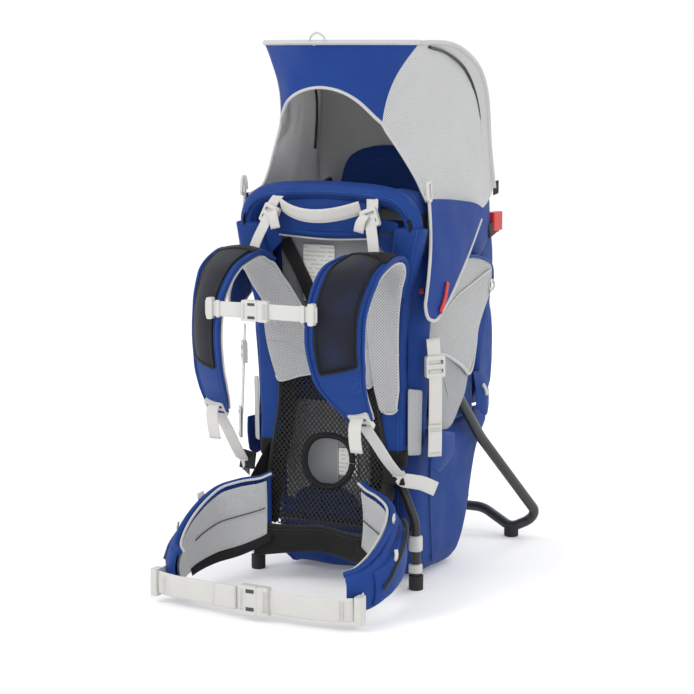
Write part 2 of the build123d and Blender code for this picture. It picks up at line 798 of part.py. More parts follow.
def build_pack():
    save("lower_bag", lower_bag())
    save("cockpit_shell", cockpit_shell())
    save("cockpit_rim", cockpit_rim())
    save("rear_pack", rear_pack())
    save("headrest", headrest())
    save("seat_pad", seat_pad())
    save("seat_back", seat_back())
    save_both("child_straps", child_strap())
    tab = harness_tab()
    save("child_harness_hardware", group(child_chest_buckle(), tab, other_side(tab)))
    save_both("side_pockets", side_pocket())
    save_both("rear_buckles", rear_buckle())
    save("care_label", care_label())
    web = side_strap()
    save_both("side_straps", web)
    save_both("side_strap_locks", side_strap_lock() - web)
    save_pair("stirrup", stirrup())


def build_harness():
    save("yoke_pad", yoke_pad())
    save_pair("shoulder_strap", shoulder_strap())
    web = shoulder_web()
    save_both("shoulder_webs", web)
    save_pair("shoulder_lock", shoulder_lock() - web)
    save_both("stabiliser_tails", stabiliser_tail())
    lifter = load_lifter_web()
    save_both("load_lifter_webs", lifter)
    save_both("load_lifter_locks", load_lifter_lock() - lifter)
    save("grab_handle", grab_handle())
    socket, plug = buckle(-32, -4, 14, STERNUM_Y, STERNUM_Z, 33, 10, 20)
    slider_x = STRAP_HALF_GAP - SLIDER_WIDTH
    save_both("sternum_sliders", sternum_slider())
    left = sternum_web(-slider_x + 0.2, -32.2)
    save("sternum_webs", group(left, sternum_web(14.2, slider_x - 0.2)))
    save("sternum_socket", socket)
    save("sternum_plug", plug)


def build_belt():
    save_pair("hip_wing", hip_wing())
    save_both("belt_loops", belt_loop())
    save_pair("hip_zip_pull", hip_zip_pull())
    y = BELT_FRONT_Y
    z = BELT_WEB_Z
    socket, plug = buckle(-14, 18, 38, y, z, 46, BELT_BUCKLE_THICK, 24)
    save("belt_socket", socket)
    save("belt_plug", plug)
    left = belt_web([(-177, -266, z), (-100, -278, z), (-14.3, y, z)])
    save("belt_webs", group(left, belt_web([(38.3, y, z), (110, y, z), (177, -270, z)])))


def build_shade():
    save("shade_wire", shade_wire())
    save("shade_front", shade_front())
    save_both("shade_sides", shade_side())
    save("shade_roof", shade_roof())
    save_both("shade_flaps", shade_flap())
    save_both("shade_tabs", shade_tab())
    save_both("shade_hooks", shade_hook())


ORIGIN_Y = middle_y()
os.makedirs("parts", exist_ok=True)
build_frame()
build_back_panel()
build_kickstand()
build_pack()
build_harness()
build_belt()
build_shade()
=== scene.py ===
import math

import bmesh
import bpy
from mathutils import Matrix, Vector, noise


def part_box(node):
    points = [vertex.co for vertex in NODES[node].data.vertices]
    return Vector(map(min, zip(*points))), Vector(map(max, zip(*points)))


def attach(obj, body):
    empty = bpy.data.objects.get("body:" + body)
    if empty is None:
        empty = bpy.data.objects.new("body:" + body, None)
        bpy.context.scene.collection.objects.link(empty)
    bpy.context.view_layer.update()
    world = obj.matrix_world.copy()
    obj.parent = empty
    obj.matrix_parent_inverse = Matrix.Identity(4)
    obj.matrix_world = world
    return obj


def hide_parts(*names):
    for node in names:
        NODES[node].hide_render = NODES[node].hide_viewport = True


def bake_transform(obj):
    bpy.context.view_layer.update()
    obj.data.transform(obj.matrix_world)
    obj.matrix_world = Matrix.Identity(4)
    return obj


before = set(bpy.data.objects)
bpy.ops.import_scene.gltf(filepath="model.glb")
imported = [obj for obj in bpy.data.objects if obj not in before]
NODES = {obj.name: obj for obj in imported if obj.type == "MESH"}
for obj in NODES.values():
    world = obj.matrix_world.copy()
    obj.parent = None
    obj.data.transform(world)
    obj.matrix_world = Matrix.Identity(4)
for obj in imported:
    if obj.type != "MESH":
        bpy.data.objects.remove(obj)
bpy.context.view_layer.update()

# Lengths below are millimetres in the carrier's working frame: X to the wearer's right hand side of the
# view, Y away from the wearer's back, Z up, with Y = 0 at the frame's front feet. at() turns them into
# metres in the row frame.
MM = 0.001
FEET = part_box("frame_feet")
FRONT_Y = (FEET[0].y + FEET[1].y) / 2
SIDES = (("right", 1), ("left", -1))
WEB_THICK = 1.8
SIM_FRAMES = 20
SIM_PRESSURE = 4.0


def at(p):
    return Vector((p[0] * MM, FRONT_Y + p[1] * MM, p[2] * MM))


def mm(p):
    """A point of the row frame, in millimetres of the working frame."""
    return Vector((p[0] / MM, (p[1] - FRONT_Y) / MM, p[2] / MM))


def node_box(name):
    """The lowest and highest corner of a CAD node, in millimetres of the working frame."""
    low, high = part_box(name)
    return mm(low), mm(high)


def flip(points, side):
    """A line that was drawn on the right hand side, on the side asked for."""
    return [Vector((p[0] * side, p[1], p[2])) for p in points]


def moved(line, x, y, z):
    return [p + Vector((x, y, z)) for p in line]


# ---------------------------------------------------------------- curves and grids

def run_length(line):
    return sum((Vector(b) - Vector(a)).length for a, b in zip(line, line[1:]))


def heading(line, i):
    """The direction of a line at its point i."""
    return (line[min(i + 1, len(line) - 1)] - line[max(i - 1, 0)]).normalized()


def rounded(value, power):
    """A sine or cosine drawn out towards 1, which turns a circle into a rounded oblong."""
    return math.copysign(abs(value) ** power, value)


def turned(grid, turn=True):
    """The grid with each row the other way round, so that its normals face the other way."""
    return [row[::-1] for row in grid] if turn else grid


def even(points, count):
    """`count` points evenly spaced along a polyline."""
    points = [Vector(p) for p in points]
    run = [0.0]
    for a, b in zip(points, points[1:]):
        run.append(run[-1] + (b - a).length)
    out, k = [], 0
    for i in range(count):
        goal = run[-1] * i / (count - 1)
        while k < len(points) - 2 and run[k + 1] < goal:
            k += 1
        span = max(run[k + 1] - run[k], 1e-9)
        out.append(points[k].lerp(points[k + 1], min(1, max(0, (goal - run[k]) / span))))
    return out


def smooth(points, count, steps=14):
    """`count` points evenly spaced on a smooth curve through the points."""
    pts = [Vector(p) for p in points]
    if len(pts) == 2:
        return even(pts, count)
    ends = [2 * pts[0] - pts[1], *pts, 2 * pts[-1] - pts[-2]]
    dense = []
    for a, b, c, d in zip(ends, ends[1:], ends[2:], ends[3:]):
        for k in range(steps):
            t = k / steps
            dense.append(0.5 * (2 * b + (c - a) * t + (2 * a - 5 * b + 4 * c - d) * t * t
                                + (3 * b - a - 3 * c + d) * t ** 3))
    dense.append(pts[-1])
    return even(dense, count)


def between(first, last, rows, bulge=None):
    """Rows of points from one edge to another; bulge(u, v) moves a point off the straight line."""
    grid = []
    for j in range(rows):
        v = j / (rows - 1)
        row = []
        for i, (a, b) in enumerate(zip(first, last)):
            p = a.lerp(b, v)
            if bulge:
                p = p + Vector(bulge(i / (len(first) - 1), v))
            row.append(p)
        grid.append(row)
    return grid


def normals(grid):
    rows, cols = len(grid), len(grid[0])
    found = []
    for j in range(rows):
        line = []
        for i in range(cols):
            du = grid[j][min(i + 1, cols - 1)] - grid[j][max(i - 1, 0)]
            dv = grid[min(j + 1, rows - 1)][i] - grid[max(j - 1, 0)][i]
            n = du.cross(dv)
            line.append(n.normalized() if n.length > 1e-9 else Vector((0, 0, 1)))
        found.append(line)
    return found


# ---------------------------------------------------------------- mesh making

def new_object(name, points, faces, materials, level=0, index=None):
    """A smooth-shaded mesh object from points in millimetres."""
    mesh = bpy.data.meshes.new(name)
    mesh.from_pydata([at(p) for p in points], [], faces)
    for m in materials:
        mesh.materials.append(m)
    if index:
        mesh.polygons.foreach_set("material_index", index)
    mesh.polygons.foreach_set("use_smooth", [True] * len(mesh.polygons))
    tidy = bmesh.new()
    tidy.from_mesh(mesh)
    bmesh.ops.remove_doubles(tidy, verts=tidy.verts, dist=1e-6)
    bmesh.ops.recalc_face_normals(tidy, faces=tidy.faces)
    tidy.to_mesh(mesh)
    tidy.free()
    obj = bpy.data.objects.new(name, mesh)
    bpy.context.scene.collection.objects.link(obj)
    if level:
        subdivide(obj, level)
    return obj


def subdivide(obj, level):
    mod = obj.modifiers.new("subdivision", "SUBSURF")
    mod.levels = mod.render_levels = level
    apply(obj)


def apply(obj):
    """Replaces the mesh by its result with every modifier applied."""
    graph = bpy.context.evaluated_depsgraph_get()
    old = obj.data
    made = bpy.data.meshes.new_from_object(obj.evaluated_get(graph), depsgraph=graph)
    obj.modifiers.clear()
    obj.data = made
    made.name = obj.name
    bpy.data.meshes.remove(old)
    for face in made.polygons:
        face.use_smooth = True


def grid_faces(rows, cols, wrap=False, start=0):
    faces = []
    for j in range(rows - 1):
        for i in range(cols if wrap else cols - 1):
            k = (i + 1) % cols
            faces.append((start + j * cols + i, start + j * cols + k,
                          start + (j + 1) * cols + k, start + (j + 1) * cols + i))
    return faces


def loft_faces(rows, ring):
    """Faces of a form through rings of points, closed at both ends."""
    faces = grid_faces(rows, ring, wrap=True)
    faces.append(tuple(range(ring - 1, -1, -1)))
    faces.append(tuple(range((rows - 1) * ring, rows * ring)))
    return faces


def cloth(name, grid, material, thick=1.2, level=1, crease=0.0, seed=0.0, keep=None):
    """Fabric through a grid of points, with two faces and a hem; keep(u, v) is false in its holes."""
    rows, cols = len(grid), len(grid[0])
    norm = normals(grid)
    front, back = [], []
    for j in range(rows):
        for i in range(cols):
            p, n = grid[j][i], norm[j][i]
            wave = crease * noise.noise(Vector(p) / 55 + Vector((seed, seed, 0))) if crease else 0
            front.append(p + n * (thick / 2 + wave))
            back.append(p + n * (wave - thick / 2))
    cells = grid_faces(rows, cols)
    if keep:
        cells = [f for f in cells
                 if keep((f[0] % cols + 0.5) / (cols - 1), (f[0] // cols + 0.5) / (rows - 1))]
    count = rows * cols
    faces = list(cells) + [tuple(count + k for k in reversed(f)) for f in cells]
    edges = {}
    for f in cells:
        for a, b in zip(f, f[1:] + f[:1]):
            edges[(a, b)] = edges.get((a, b), 0) + 1
    for a, b in list(edges):
        if (b, a) not in edges:
            faces.append((b, a, count + a, count + b))
    return new_object(name, front + back, faces, [material], level)


def pillow(name, grid, thick, materials, edge=2.0, power=0.4, dent=None, level=1, ends=True):
    """A padded closed form about a grid: full in the middle and thin at its edges.
    materials are for the face along the grid's normals, the other face and the rim."""
    rows, cols = len(grid), len(grid[0])
    norm = normals(grid)
    front, back = [], []
    for j in range(rows):
        for i in range(cols):
            u, v = i / (cols - 1), j / (rows - 1)
            full = (4 * v * (1 - v)) ** power
            if ends:
                full *= (4 * u * (1 - u)) ** power
            if dent:
                full *= dent(u, v)
            size = edge + (thick - edge) * full
            front.append(grid[j][i] + norm[j][i] * size / 2)
            back.append(grid[j][i] - norm[j][i] * size / 2)
    cells = grid_faces(rows, cols)
    count = rows * cols
    faces = cells + [tuple(count + k for k in reversed(f)) for f in cells]
    index = [0] * len(cells) + [min(1, len(materials) - 1)] * len(cells)
    ring = list(range(cols))
    ring += [j * cols + cols - 1 for j in range(1, rows)]
    ring += [(rows - 1) * cols + i for i in range(cols - 2, -1, -1)]
    ring += [j * cols for j in range(rows - 2, 0, -1)]
    for a, b in zip(ring, ring[1:] + ring[:1]):
        faces.append((b, a, count + a, count + b))
        index.append(min(2, len(materials) - 1))
    return new_object(name, front + back, faces, materials, level, index)


def frames(points):
    """A direction and two square directions at each point of a line, without twist."""
    found, side = [], None
    for i in range(len(points)):
        along = heading(points, i)
        if side is None:
            side = along.orthogonal().normalized()
        side = (side - along * side.dot(along)).normalized()
        found.append((along, side, along.cross(side)))
    return found


def tube(name, points, radius, material, sides=10, squash=1.0):
    """A round or flattened cord along a line of points; radius may be a function of the share along it."""
    verts, rows = [], len(points)
    for i, (p, (_, a, b)) in enumerate(zip(points, frames(points))):
        r = radius(i / (rows - 1)) if callable(radius) else radius
        for k in range(sides):
            t = 2 * math.pi * k / sides
            verts.append(p + a * r * math.cos(t) + b * r * squash * math.sin(t))
    return new_object(name, verts, loft_faces(rows, sides), [material])


def web(name, points, width, material, across=(1, 0, 0), thick=WEB_THICK, count=None):
    """A flat strap with rounded selvedges. across is the direction of its width, or one for each point."""
    count = count or max(8, int(run_length(points) / 6))
    line = smooth(points, count)
    many = isinstance(across[0], (tuple, list, Vector))
    sides = smooth(across, count) if many else [Vector(across)] * count
    section = [(-0.5, 0), (-0.47, 0.4), (-0.4, 0.5), (-0.2, 0.56), (0, 0.58), (0.2, 0.56), (0.4, 0.5),
               (0.47, 0.4), (0.5, 0), (0.47, -0.4), (0.4, -0.5), (0, -0.5), (-0.4, -0.5), (-0.47, -0.4)]
    verts = []
    for i, p in enumerate(line):
        along = heading(line, i)
        side = (sides[i] - along * sides[i].dot(along)).normalized()
        up = along.cross(side)
        verts += [p + side * width * a + up * thick * b for a, b in section]
    return new_object(name, verts, loft_faces(count, len(section)), [material])


def stitches(name, lines, material, pitch=4.0, share=0.62, radius=0.55):
    """Rows of thread: a short raised dash every `pitch` along each line."""
    verts, faces = [], []
    for line in lines:
        count = max(2, int(run_length(line) / pitch))
        points = even(line, count * 4 + 1)
        for k in range(count):
            a, b = points[4 * k], points[4 * k + 3]
            b = a.lerp(b, share / 0.75)
            along = (b - a).normalized() if (b - a).length > 1e-6 else Vector((1, 0, 0))
            s = along.orthogonal().normalized()
            t = along.cross(s)
            start = len(verts)
            for p, r in ((a, 0.35), (a.lerp(b, 0.25), 1), (a.lerp(b, 0.75), 1), (b, 0.35)):
                for q in range(4):
                    w = math.pi / 4 + q * math.pi / 2
                    verts.append(p + (s * math.cos(w) + t * math.sin(w)) * radius * r)
            faces += grid_faces(4, 4, wrap=True, start=start)
            faces.append((start + 3, start + 2, start + 1, start))
            faces.append((start + 12, start + 13, start + 14, start + 15))
    return new_object(name, verts, faces, [material])


def swell(obj, cap, voxel=5.0):
    """Blows a padded piece up by cloth simulation; no point moves by more than cap millimetres."""
    obj.data.remesh_voxel_size = voxel * MM
    bpy.context.view_layer.objects.active = obj
    obj.select_set(True)
    bpy.ops.object.voxel_remesh()
    start = [v.co.copy() for v in obj.data.vertices]
    sim = obj.modifiers.new("cloth", "CLOTH")
    sim.settings.use_pressure = True
    sim.settings.uniform_pressure_force = SIM_PRESSURE
    sim.settings.effector_weights.gravity = 0
    sim.settings.quality = 5
    sim.settings.tension_stiffness = sim.settings.compression_stiffness = 12
    sim.settings.bending_stiffness = 0.6
    sim.collision_settings.use_collision = False
    sim.point_cache.frame_start, sim.point_cache.frame_end = 1, SIM_FRAMES
    scene = bpy.context.scene
    for number in range(1, SIM_FRAMES + 1):
        scene.frame_set(number)
    apply(obj)
    scene.frame_set(1)
    for v, p in zip(obj.data.vertices, start):
        move = v.co - p
        if move.length > cap * MM:
            v.co = p + move.normalized() * cap * MM
    subdivide(obj, 1)
    obj.select_set(False)
    return obj


def put(obj, body="pack", nodes=()):
    """Rides the piece on its body and hides the CAD nodes that it stands for."""
    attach(obj, body)
    if nodes:
        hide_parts(*nodes)
    return obj


def once(node, side):
    """A node that holds both sides is replaced by the piece on the right."""
    return [node] if side > 0 else ()


def put_sheet(obj, grid, body, nodes=(), share=1.0):
    put(obj, body, nodes)
    length = max(run_length(row) for row in grid)
    width = max(run_length(column) for column in zip(*grid))
    area = 0.0
    for r, s in zip(grid, grid[1:]):
        for a, b, c, d in zip(r, r[1:], s[1:], s):
            area += (b - a).cross(c - a).length / 2 + (c - a).cross(d - a).length / 2
    area = max(0.3 * width * length, min(area * share, width * length))
    return obj


# ---------------------------------------------------------------- materials

class Surface:
    """A procedural material with a few short ways to add nodes."""

    def __init__(self, name, roughness, **constants):
        self.mat = bpy.data.materials.new(name)
        self.mat.use_nodes = True
        self.tree = self.mat.node_tree
        self.shader = self.tree.nodes["Principled BSDF"]
        self.shader.inputs["Roughness"].default_value = roughness
        for key, value in constants.items():
            self.shader.inputs[key.replace("_", " ")].default_value = value
        self.place = self.tree.nodes.new("ShaderNodeTexCoord")
        self._flat = None

    def feed(self, socket, value):
        if isinstance(value, bpy.types.NodeSocket):
            self.tree.links.new(value, socket)
        elif isinstance(value, tuple):
            socket.default_value = (*value[:3], 1)
        else:
            socket.default_value = value

    def math(self, kind, *values):
        node = self.tree.nodes.new("ShaderNodeMath")
        node.operation = kind
        for socket, value in zip(node.inputs, values):
            self.feed(socket, value)
        return node.outputs[0]

    def mix(self, factor, first, second):
        node = self.tree.nodes.new("ShaderNodeMix")
        node.data_type = "RGBA"
        self.feed(node.inputs[0], factor)
        self.feed(node.inputs[6], first)
        self.feed(node.inputs[7], second)
        return node.outputs[2]

    def ramp(self, value, low, high):
        node = self.tree.nodes.new("ShaderNodeMapRange")
        self.feed(node.inputs["Value"], value)
        node.inputs["From Min"].default_value = low
        node.inputs["From Max"].default_value = high
        return node.outputs[0]

    def cloud(self, size_mm, detail=2.0, roughness=0.5):
        node = self.tree.nodes.new("ShaderNodeTexNoise")
        self.feed(node.inputs["Vector"], self.place.outputs["Object"])
        node.inputs["Scale"].default_value = 1000 / size_mm
        node.inputs["Detail"].default_value = detail
        node.inputs["Roughness"].default_value = roughness
        return node.outputs[0]

    def flat(self):
        """Two lengths along the surface, from whichever pair of axes lies flattest on it."""
        if self._flat:
            return self._flat
        where = self.tree.nodes.new("ShaderNodeSeparateXYZ")
        facing = self.tree.nodes.new("ShaderNodeSeparateXYZ")
        self.feed(where.inputs[0], self.place.outputs["Object"])
        self.feed(facing.inputs[0], self.place.outputs["Normal"])
        size = [self.math("ABSOLUTE", s) for s in facing.outputs]
        sideways = self.math("GREATER_THAN", size[0], size[1])
        level = self.math("GREATER_THAN", size[2], self.math("MULTIPLY",
                                                             self.math("MAXIMUM", size[0], size[1]), 1.3))
        x, y, z = where.outputs

        def choose(test, yes, no):
            return self.math("ADD", self.math("MULTIPLY", test, yes),
                             self.math("MULTIPLY", self.math("SUBTRACT", 1.0, test), no))

        self._flat = (choose(sideways, y, x), choose(level, choose(sideways, x, y), z))
        return self._flat

    def lattice(self, wide_mm, high_mm):
        """Distance from the nearest point of a staggered lattice, 0 at a point and 0.7 midway."""
        u, v = self.flat()
        a = self.math("MULTIPLY", u, 1000 / wide_mm)
        b = self.math("MULTIPLY", v, 1000 / high_mm)
        join_xyz = self.tree.nodes.new("ShaderNodeCombineXYZ")
        self.feed(join_xyz.inputs[0], self.math("ADD", a, b))
        self.feed(join_xyz.inputs[1], self.math("SUBTRACT", a, b))
        cells = self.tree.nodes.new("ShaderNodeTexVoronoi")
        cells.voronoi_dimensions = "2D"
        cells.inputs["Scale"].default_value = 1.0
        cells.inputs["Randomness"].default_value = 0.0
        self.feed(cells.inputs["Vector"], join_xyz.outputs[0])
        return cells.outputs["Distance"]

    def weave(self, pitch_mm, slant=0.0):
        """Threads over and under one another."""
        u, v = self.flat()
        k = 2000 * math.pi / pitch_mm
        a = self.math("ADD", u, self.math("MULTIPLY", v, slant))
        b = self.math("SUBTRACT", v, self.math("MULTIPLY", u, slant))
        return self.math("MULTIPLY", self.math("SINE", self.math("MULTIPLY", a, k)),
                         self.math("SINE", self.math("MULTIPLY", b, k)))

    def finish(self, colour, bumps=(), rough=None, alpha=None):
        """bumps are (height, depth in millimetres)."""
        self.feed(self.shader.inputs["Base Color"], colour)
        last = None
        for height, depth in bumps:
            node = self.tree.nodes.new("ShaderNodeBump")
            node.inputs["Strength"].default_value = 1.0
            node.inputs["Distance"].default_value = depth * MM
            self.feed(node.inputs["Height"], height)
            if last:
                self.feed(node.inputs["Normal"], last)
            last = node.outputs[0]
        if last:
            self.feed(self.shader.inputs["Normal"], last)
        if rough is not None:
            self.feed(self.shader.inputs["Roughness"], rough)
        if alpha is not None:
            self.feed(self.shader.inputs["Alpha"], alpha)
        return self.mat


def tone(rgb, gain):
    return tuple(min(1, c * gain) for c in rgb[:3]) + (1,)


def pack_cloth(name, rgb, pitch=2.6, contrast=0.16, folds=0.9, sheen=0.03):
    """Tightly woven nylon with a fine diagonal figure, a soft sheen and slow creases."""
    s = Surface(name, 0.7, Sheen_Weight=sheen, Sheen_Roughness=0.4, Specular_IOR_Level=0.22)
    figure = s.weave(pitch, 1.0)
    fine = s.weave(1.1)
    slow = s.cloud(70, 3)
    spots = s.cloud(7, 2)
    lit = s.mix(s.ramp(figure, -1, 1), tone(rgb, 1 - contrast), tone(rgb, 1 + contrast))
    lit = s.mix(s.math("MULTIPLY", s.ramp(slow, 0.35, 0.7), 0.35), lit, tone(rgb, 0.78))
    lit = s.mix(s.math("MULTIPLY", s.ramp(spots, 0.55, 0.8), 0.10), lit, tone(rgb, 1.6))
    return s.finish(lit, [(fine, 0.05), (figure, 0.10), (slow, folds), (s.cloud(26, 2), 0.35 * folds)],
                    s.ramp(s.cloud(40, 2), -1.2, 1.6))


def spacer_mesh(name, rgb, pit_shade, wide=5.2, high=5.2, hole=0.34, alpha=1.0):
    """Knitted spacer mesh: a soft diagonal lattice of dimples between rounded ribs, with painted shade in
    the dimples.
    """
    s = Surface(name, 0.9, Sheen_Weight=0.35, Sheen_Roughness=0.5, Specular_IOR_Level=0.2)
    far = s.lattice(wide, high)
    pit = s.ramp(far, hole - 0.10, hole + 0.10)
    slow = s.cloud(50, 2)
    # painted shade: the dimples take the second, darker colour, as shade in the hollows
    colour = s.mix(pit, pit_shade, rgb)
    colour = s.mix(s.math("MULTIPLY", s.ramp(slow, 0.3, 0.75), 0.3), colour, tone(rgb, 0.80))
    see = None
    if alpha < 1:
        see = s.math("MAXIMUM", pit, alpha)
    return s.finish(colour, [(pit, 0.5), (s.weave(1.3), 0.08), (slow, 0.6)], alpha=see)


def net(name, rgb, wide, high, hole):
    """A net that is open between its threads."""
    s = Surface(name, 0.75, Sheen_Weight=0.2, Specular_IOR_Level=0.3)
    far = s.lattice(wide, high)
    solid = s.math("GREATER_THAN", far, hole)
    colour = s.mix(s.ramp(far, hole, hole + 0.2), tone(rgb, 1.3), rgb)
    return s.finish(colour, [(far, 0.6), (s.cloud(60, 2), 0.8)], alpha=solid)


def webbing(name, rgb, pitch=1.9):
    """Flat woven tape with ribs across it and a little grime."""
    s = Surface(name, 0.78, Sheen_Weight=0.2, Specular_IOR_Level=0.25)
    ribs = s.weave(pitch, 0.6)
    worn = s.cloud(22, 3)
    colour = s.mix(s.ramp(ribs, -1, 1), tone(rgb, 0.93), tone(rgb, 1.04))
    colour = s.mix(s.math("MULTIPLY", s.ramp(worn, 0.5, 0.8), 0.25), colour, tone(rgb, 0.86))
    return s.finish(colour, [(ribs, 0.14), (worn, 0.2)])


def plastic(name, rgb, roughness=0.38, grain=0.04):
    """Moulded nylon: fine spark-eroded grain and a faint cloud in its gloss."""
    s = Surface(name, roughness, Specular_IOR_Level=0.5)
    cloud = s.cloud(14, 3)
    colour = s.mix(s.ramp(cloud, 0.3, 0.75), tone(rgb, 0.95), tone(rgb, 1.03))
    return s.finish(colour, [(s.cloud(0.8, 1), grain), (cloud, 0.05)],
                    s.math("ADD", s.math("MULTIPLY", cloud, 0.2), roughness - 0.1))


def painted_tube(name, rgb, roughness, metallic):
    """Powder coat on tube: fine orange peel, scuffs that show a little lighter."""
    s = Surface(name, roughness, Metallic=metallic, Coat_Weight=0.15, Coat_Roughness=0.3)
    scuff = s.cloud(9, 5, roughness=0.7)
    colour = s.mix(s.math("MULTIPLY", s.ramp(scuff, 0.62, 0.75), 0.35), tone(rgb, 1.0), tone(rgb, 2.2))
    return s.finish(colour, [(s.cloud(1.2, 2), 0.03)],
                    s.math("ADD", s.math("MULTIPLY", scuff, 0.25), roughness - 0.1))


def care_print(name):
    """White label stock with grey bars in place of any wording."""
    s = Surface(name, 0.55)
    _, v = s.flat()
    lines = s.math("GREATER_THAN", s.math("SINE", s.math("MULTIPLY", v, 2000 * math.pi / 7)), 0.35)
    gaps = s.math("GREATER_THAN", s.cloud(9, 0), 0.47)
    bar = s.math("MULTIPLY", s.math("MULTIPLY", lines, gaps), 0.35)
    return s.finish(s.mix(bar, (0.80, 0.79, 0.76, 1), (0.22, 0.22, 0.23, 1)), [(s.cloud(12, 2), 0.15)])


BLUE = (0.007, 0.043, 0.22)
NAVY = (0.007, 0.025, 0.12)
M = {
    "blue": pack_cloth("pack_blue", BLUE),
    "shade": pack_cloth("shade_blue", (0.006, 0.041, 0.23), pitch=2.2, contrast=0.10, folds=0.5,
                        sheen=0.02),
    "deep": pack_cloth("pack_navy", NAVY, folds=0.5),
    "black": pack_cloth("pack_black", (0.008, 0.008, 0.009), contrast=0.25, sheen=0.03),
    "lining": pack_cloth("lining_grey", (0.33, 0.34, 0.355), pitch=1.8, contrast=0.05, folds=0.6),
    "grey": spacer_mesh("spacer_grey", (0.54, 0.545, 0.56, 1), (0.26, 0.265, 0.275, 1)),
    "belt_grey": spacer_mesh("belt_grey", (0.52, 0.525, 0.54, 1), (0.30, 0.305, 0.32, 1), 3.8, 3.8, 0.3),
    "screen": spacer_mesh("shade_screen", (0.68, 0.685, 0.69, 1), (0.34, 0.345, 0.355, 1), 4.2, 4.2, 0.30,
                          0.35),
    "pocket": spacer_mesh("pocket_screen", (0.58, 0.585, 0.59, 1), (0.24, 0.245, 0.25, 1), 5.2, 4.2, 0.34,
                          0.45),
    "roof": pack_cloth("roof_grey", (0.56, 0.56, 0.55), pitch=1.8, contrast=0.04, folds=0.4),
    "net": net("back_net", (0.012, 0.012, 0.013), 8.4, 9.6, 0.40),
    "mesh": net("strap_net", (0.010, 0.011, 0.016), 4.6, 4.6, 0.36),
    "web": webbing("webbing_white", (0.62, 0.61, 0.585)),
    "black_web": webbing("webbing_black", (0.015, 0.015, 0.016)),
    "pipe": webbing("piping_grey", (0.56, 0.56, 0.56), 1.4),
    "bind": webbing("binding_grey", (0.50, 0.50, 0.505), 2.6),
    "thread": plastic("thread_grey", (0.42, 0.42, 0.42), 0.7),
    "dark_thread": plastic("thread_dark", (0.05, 0.05, 0.06), 0.7),
    "blue_thread": plastic("thread_blue", (0.035, 0.11, 0.46), 0.7),
    "white": plastic("nylon_white", (0.56, 0.555, 0.535)),
    "red": plastic("nylon_red", (0.55, 0.02, 0.02)),
    "red_web": webbing("webbing_red", (0.55, 0.02, 0.025)),
    "tube": painted_tube("tube_black", (0.012, 0.012, 0.013), 0.42, 0.1),
    "stand": painted_tube("stand_charcoal", (0.028, 0.031, 0.031), 0.38, 0.35),
    "rubber": plastic("foot_rubber", (0.014, 0.014, 0.014), 0.75, 0.08),
    "steel": painted_tube("pin_steel", (0.35, 0.35, 0.36), 0.35, 0.9),
    "label": care_print("label_stock"),
}


# ---------------------------------------------------------------- frame and hardware

HARDWARE = {
    "tube": ("frame_tube", "cross_bars", "kickstand_brackets"),
    "stand": ("kickstand_tube",),
    "steel": ("kickstand_pins",),
    "rubber": ("frame_feet", "kickstand_feet", "rail_end_caps"),
    "white": ("side_strap_locks", "shoulder_lock_left", "shoulder_lock_right", "load_lifter_locks",
              "sternum_sliders", "sternum_socket", "sternum_plug", "belt_loops", "belt_socket", "belt_plug",
              "shade_hooks"),
    "red": ("rear_buckles", "child_harness_hardware"),
}


def dress_hardware():
    for key, names in HARDWARE.items():
        for name in names:
            NODES[name].data.materials.clear()
            NODES[name].data.materials.append(M[key])


def sleeve(name, spine, width, depth, material, count=30, crease=1.2, seed=0.0, square=0.55):
    """A sewn sleeve of rounded oblong section round an upright line; width and depth may be functions."""
    line = smooth(spine, count)
    verts, ring = [], 28
    for j, p in enumerate(line):
        v = j / (count - 1)
        w = width(v) if callable(width) else width
        d = depth(v) if callable(depth) else depth
        for k in range(ring):
            t = 2 * math.pi * k / ring
            c, s = math.cos(t), math.sin(t)
            out = Vector((rounded(c, square) * w / 2, rounded(s, square) * d / 2, 0))
            wave = 1 + crease * 0.04 * noise.noise((p + out) / 30 + Vector((seed, 0, 0)))
            verts.append(p + out * wave)
    return new_object(name, verts, loft_faces(count, ring), [material], level=1)


def make_rail_cover(word, s):
    rail = [(112, -8, 226), (112, -10, 300), (112, -13, 400), (115, -14, 450), (128, -16, 510),
            (140, -18, 556), (149, -19, 598)]
    cover = sleeve("rail_cover_" + word, flip(rail, s), lambda v: 44 + 8 * v, lambda v: 26 + 6 * v,
                   M["blue"], count=48, crease=2.0, seed=s)
    put(cover, "pack", once("rail_covers", s))
    boot = [(112, -7, 203), (112, -8, 214), (112, -9, 234)]
    put(sleeve("rail_boot_" + word, flip(boot, s), 47, 29, M["black"], count=10))
    for k in (-1, 1):
        seam = [Vector((x + k * (15 + 3 * (z - 226) / 330), y - 13.5 - 3.2 * (z - 226) / 330, z)) for x, y,
                z in rail]
        put(stitches(f"rail_stitching_{word}_{'inner' if k < 0 else 'outer'}", [smooth(flip(seam, s), 80)],
                     M["blue_thread"]))


def make_corner_patch(word, s):
    low_line = smooth(flip([(150, -30, 618), (152, -40, 600), (152, -22, 572), (152, -4, 550)], s), 16)
    high_line = smooth(flip([(152, 44, 620), (153, 44, 596), (153, 38, 570), (152, 2, 548)], s), 16)
    patch = between(low_line, high_line, 12, lambda u,
                    v: (s * 9 * math.sin(math.pi * v) * (1 - 0.6 * u), 0, 0))
    patch = turned(patch, s > 0)
    put(pillow("corner_patch_" + word, patch, 7, [M["black"]], edge=2.5), nodes=once("corner_patches", s))
    middle = moved(patch[6][::-1] if s > 0 else patch[6], s * 4.5, 0, 0)
    put(tube("corner_patch_seam_" + word, middle[:-1], 1.3, M["dark_thread"], 6))


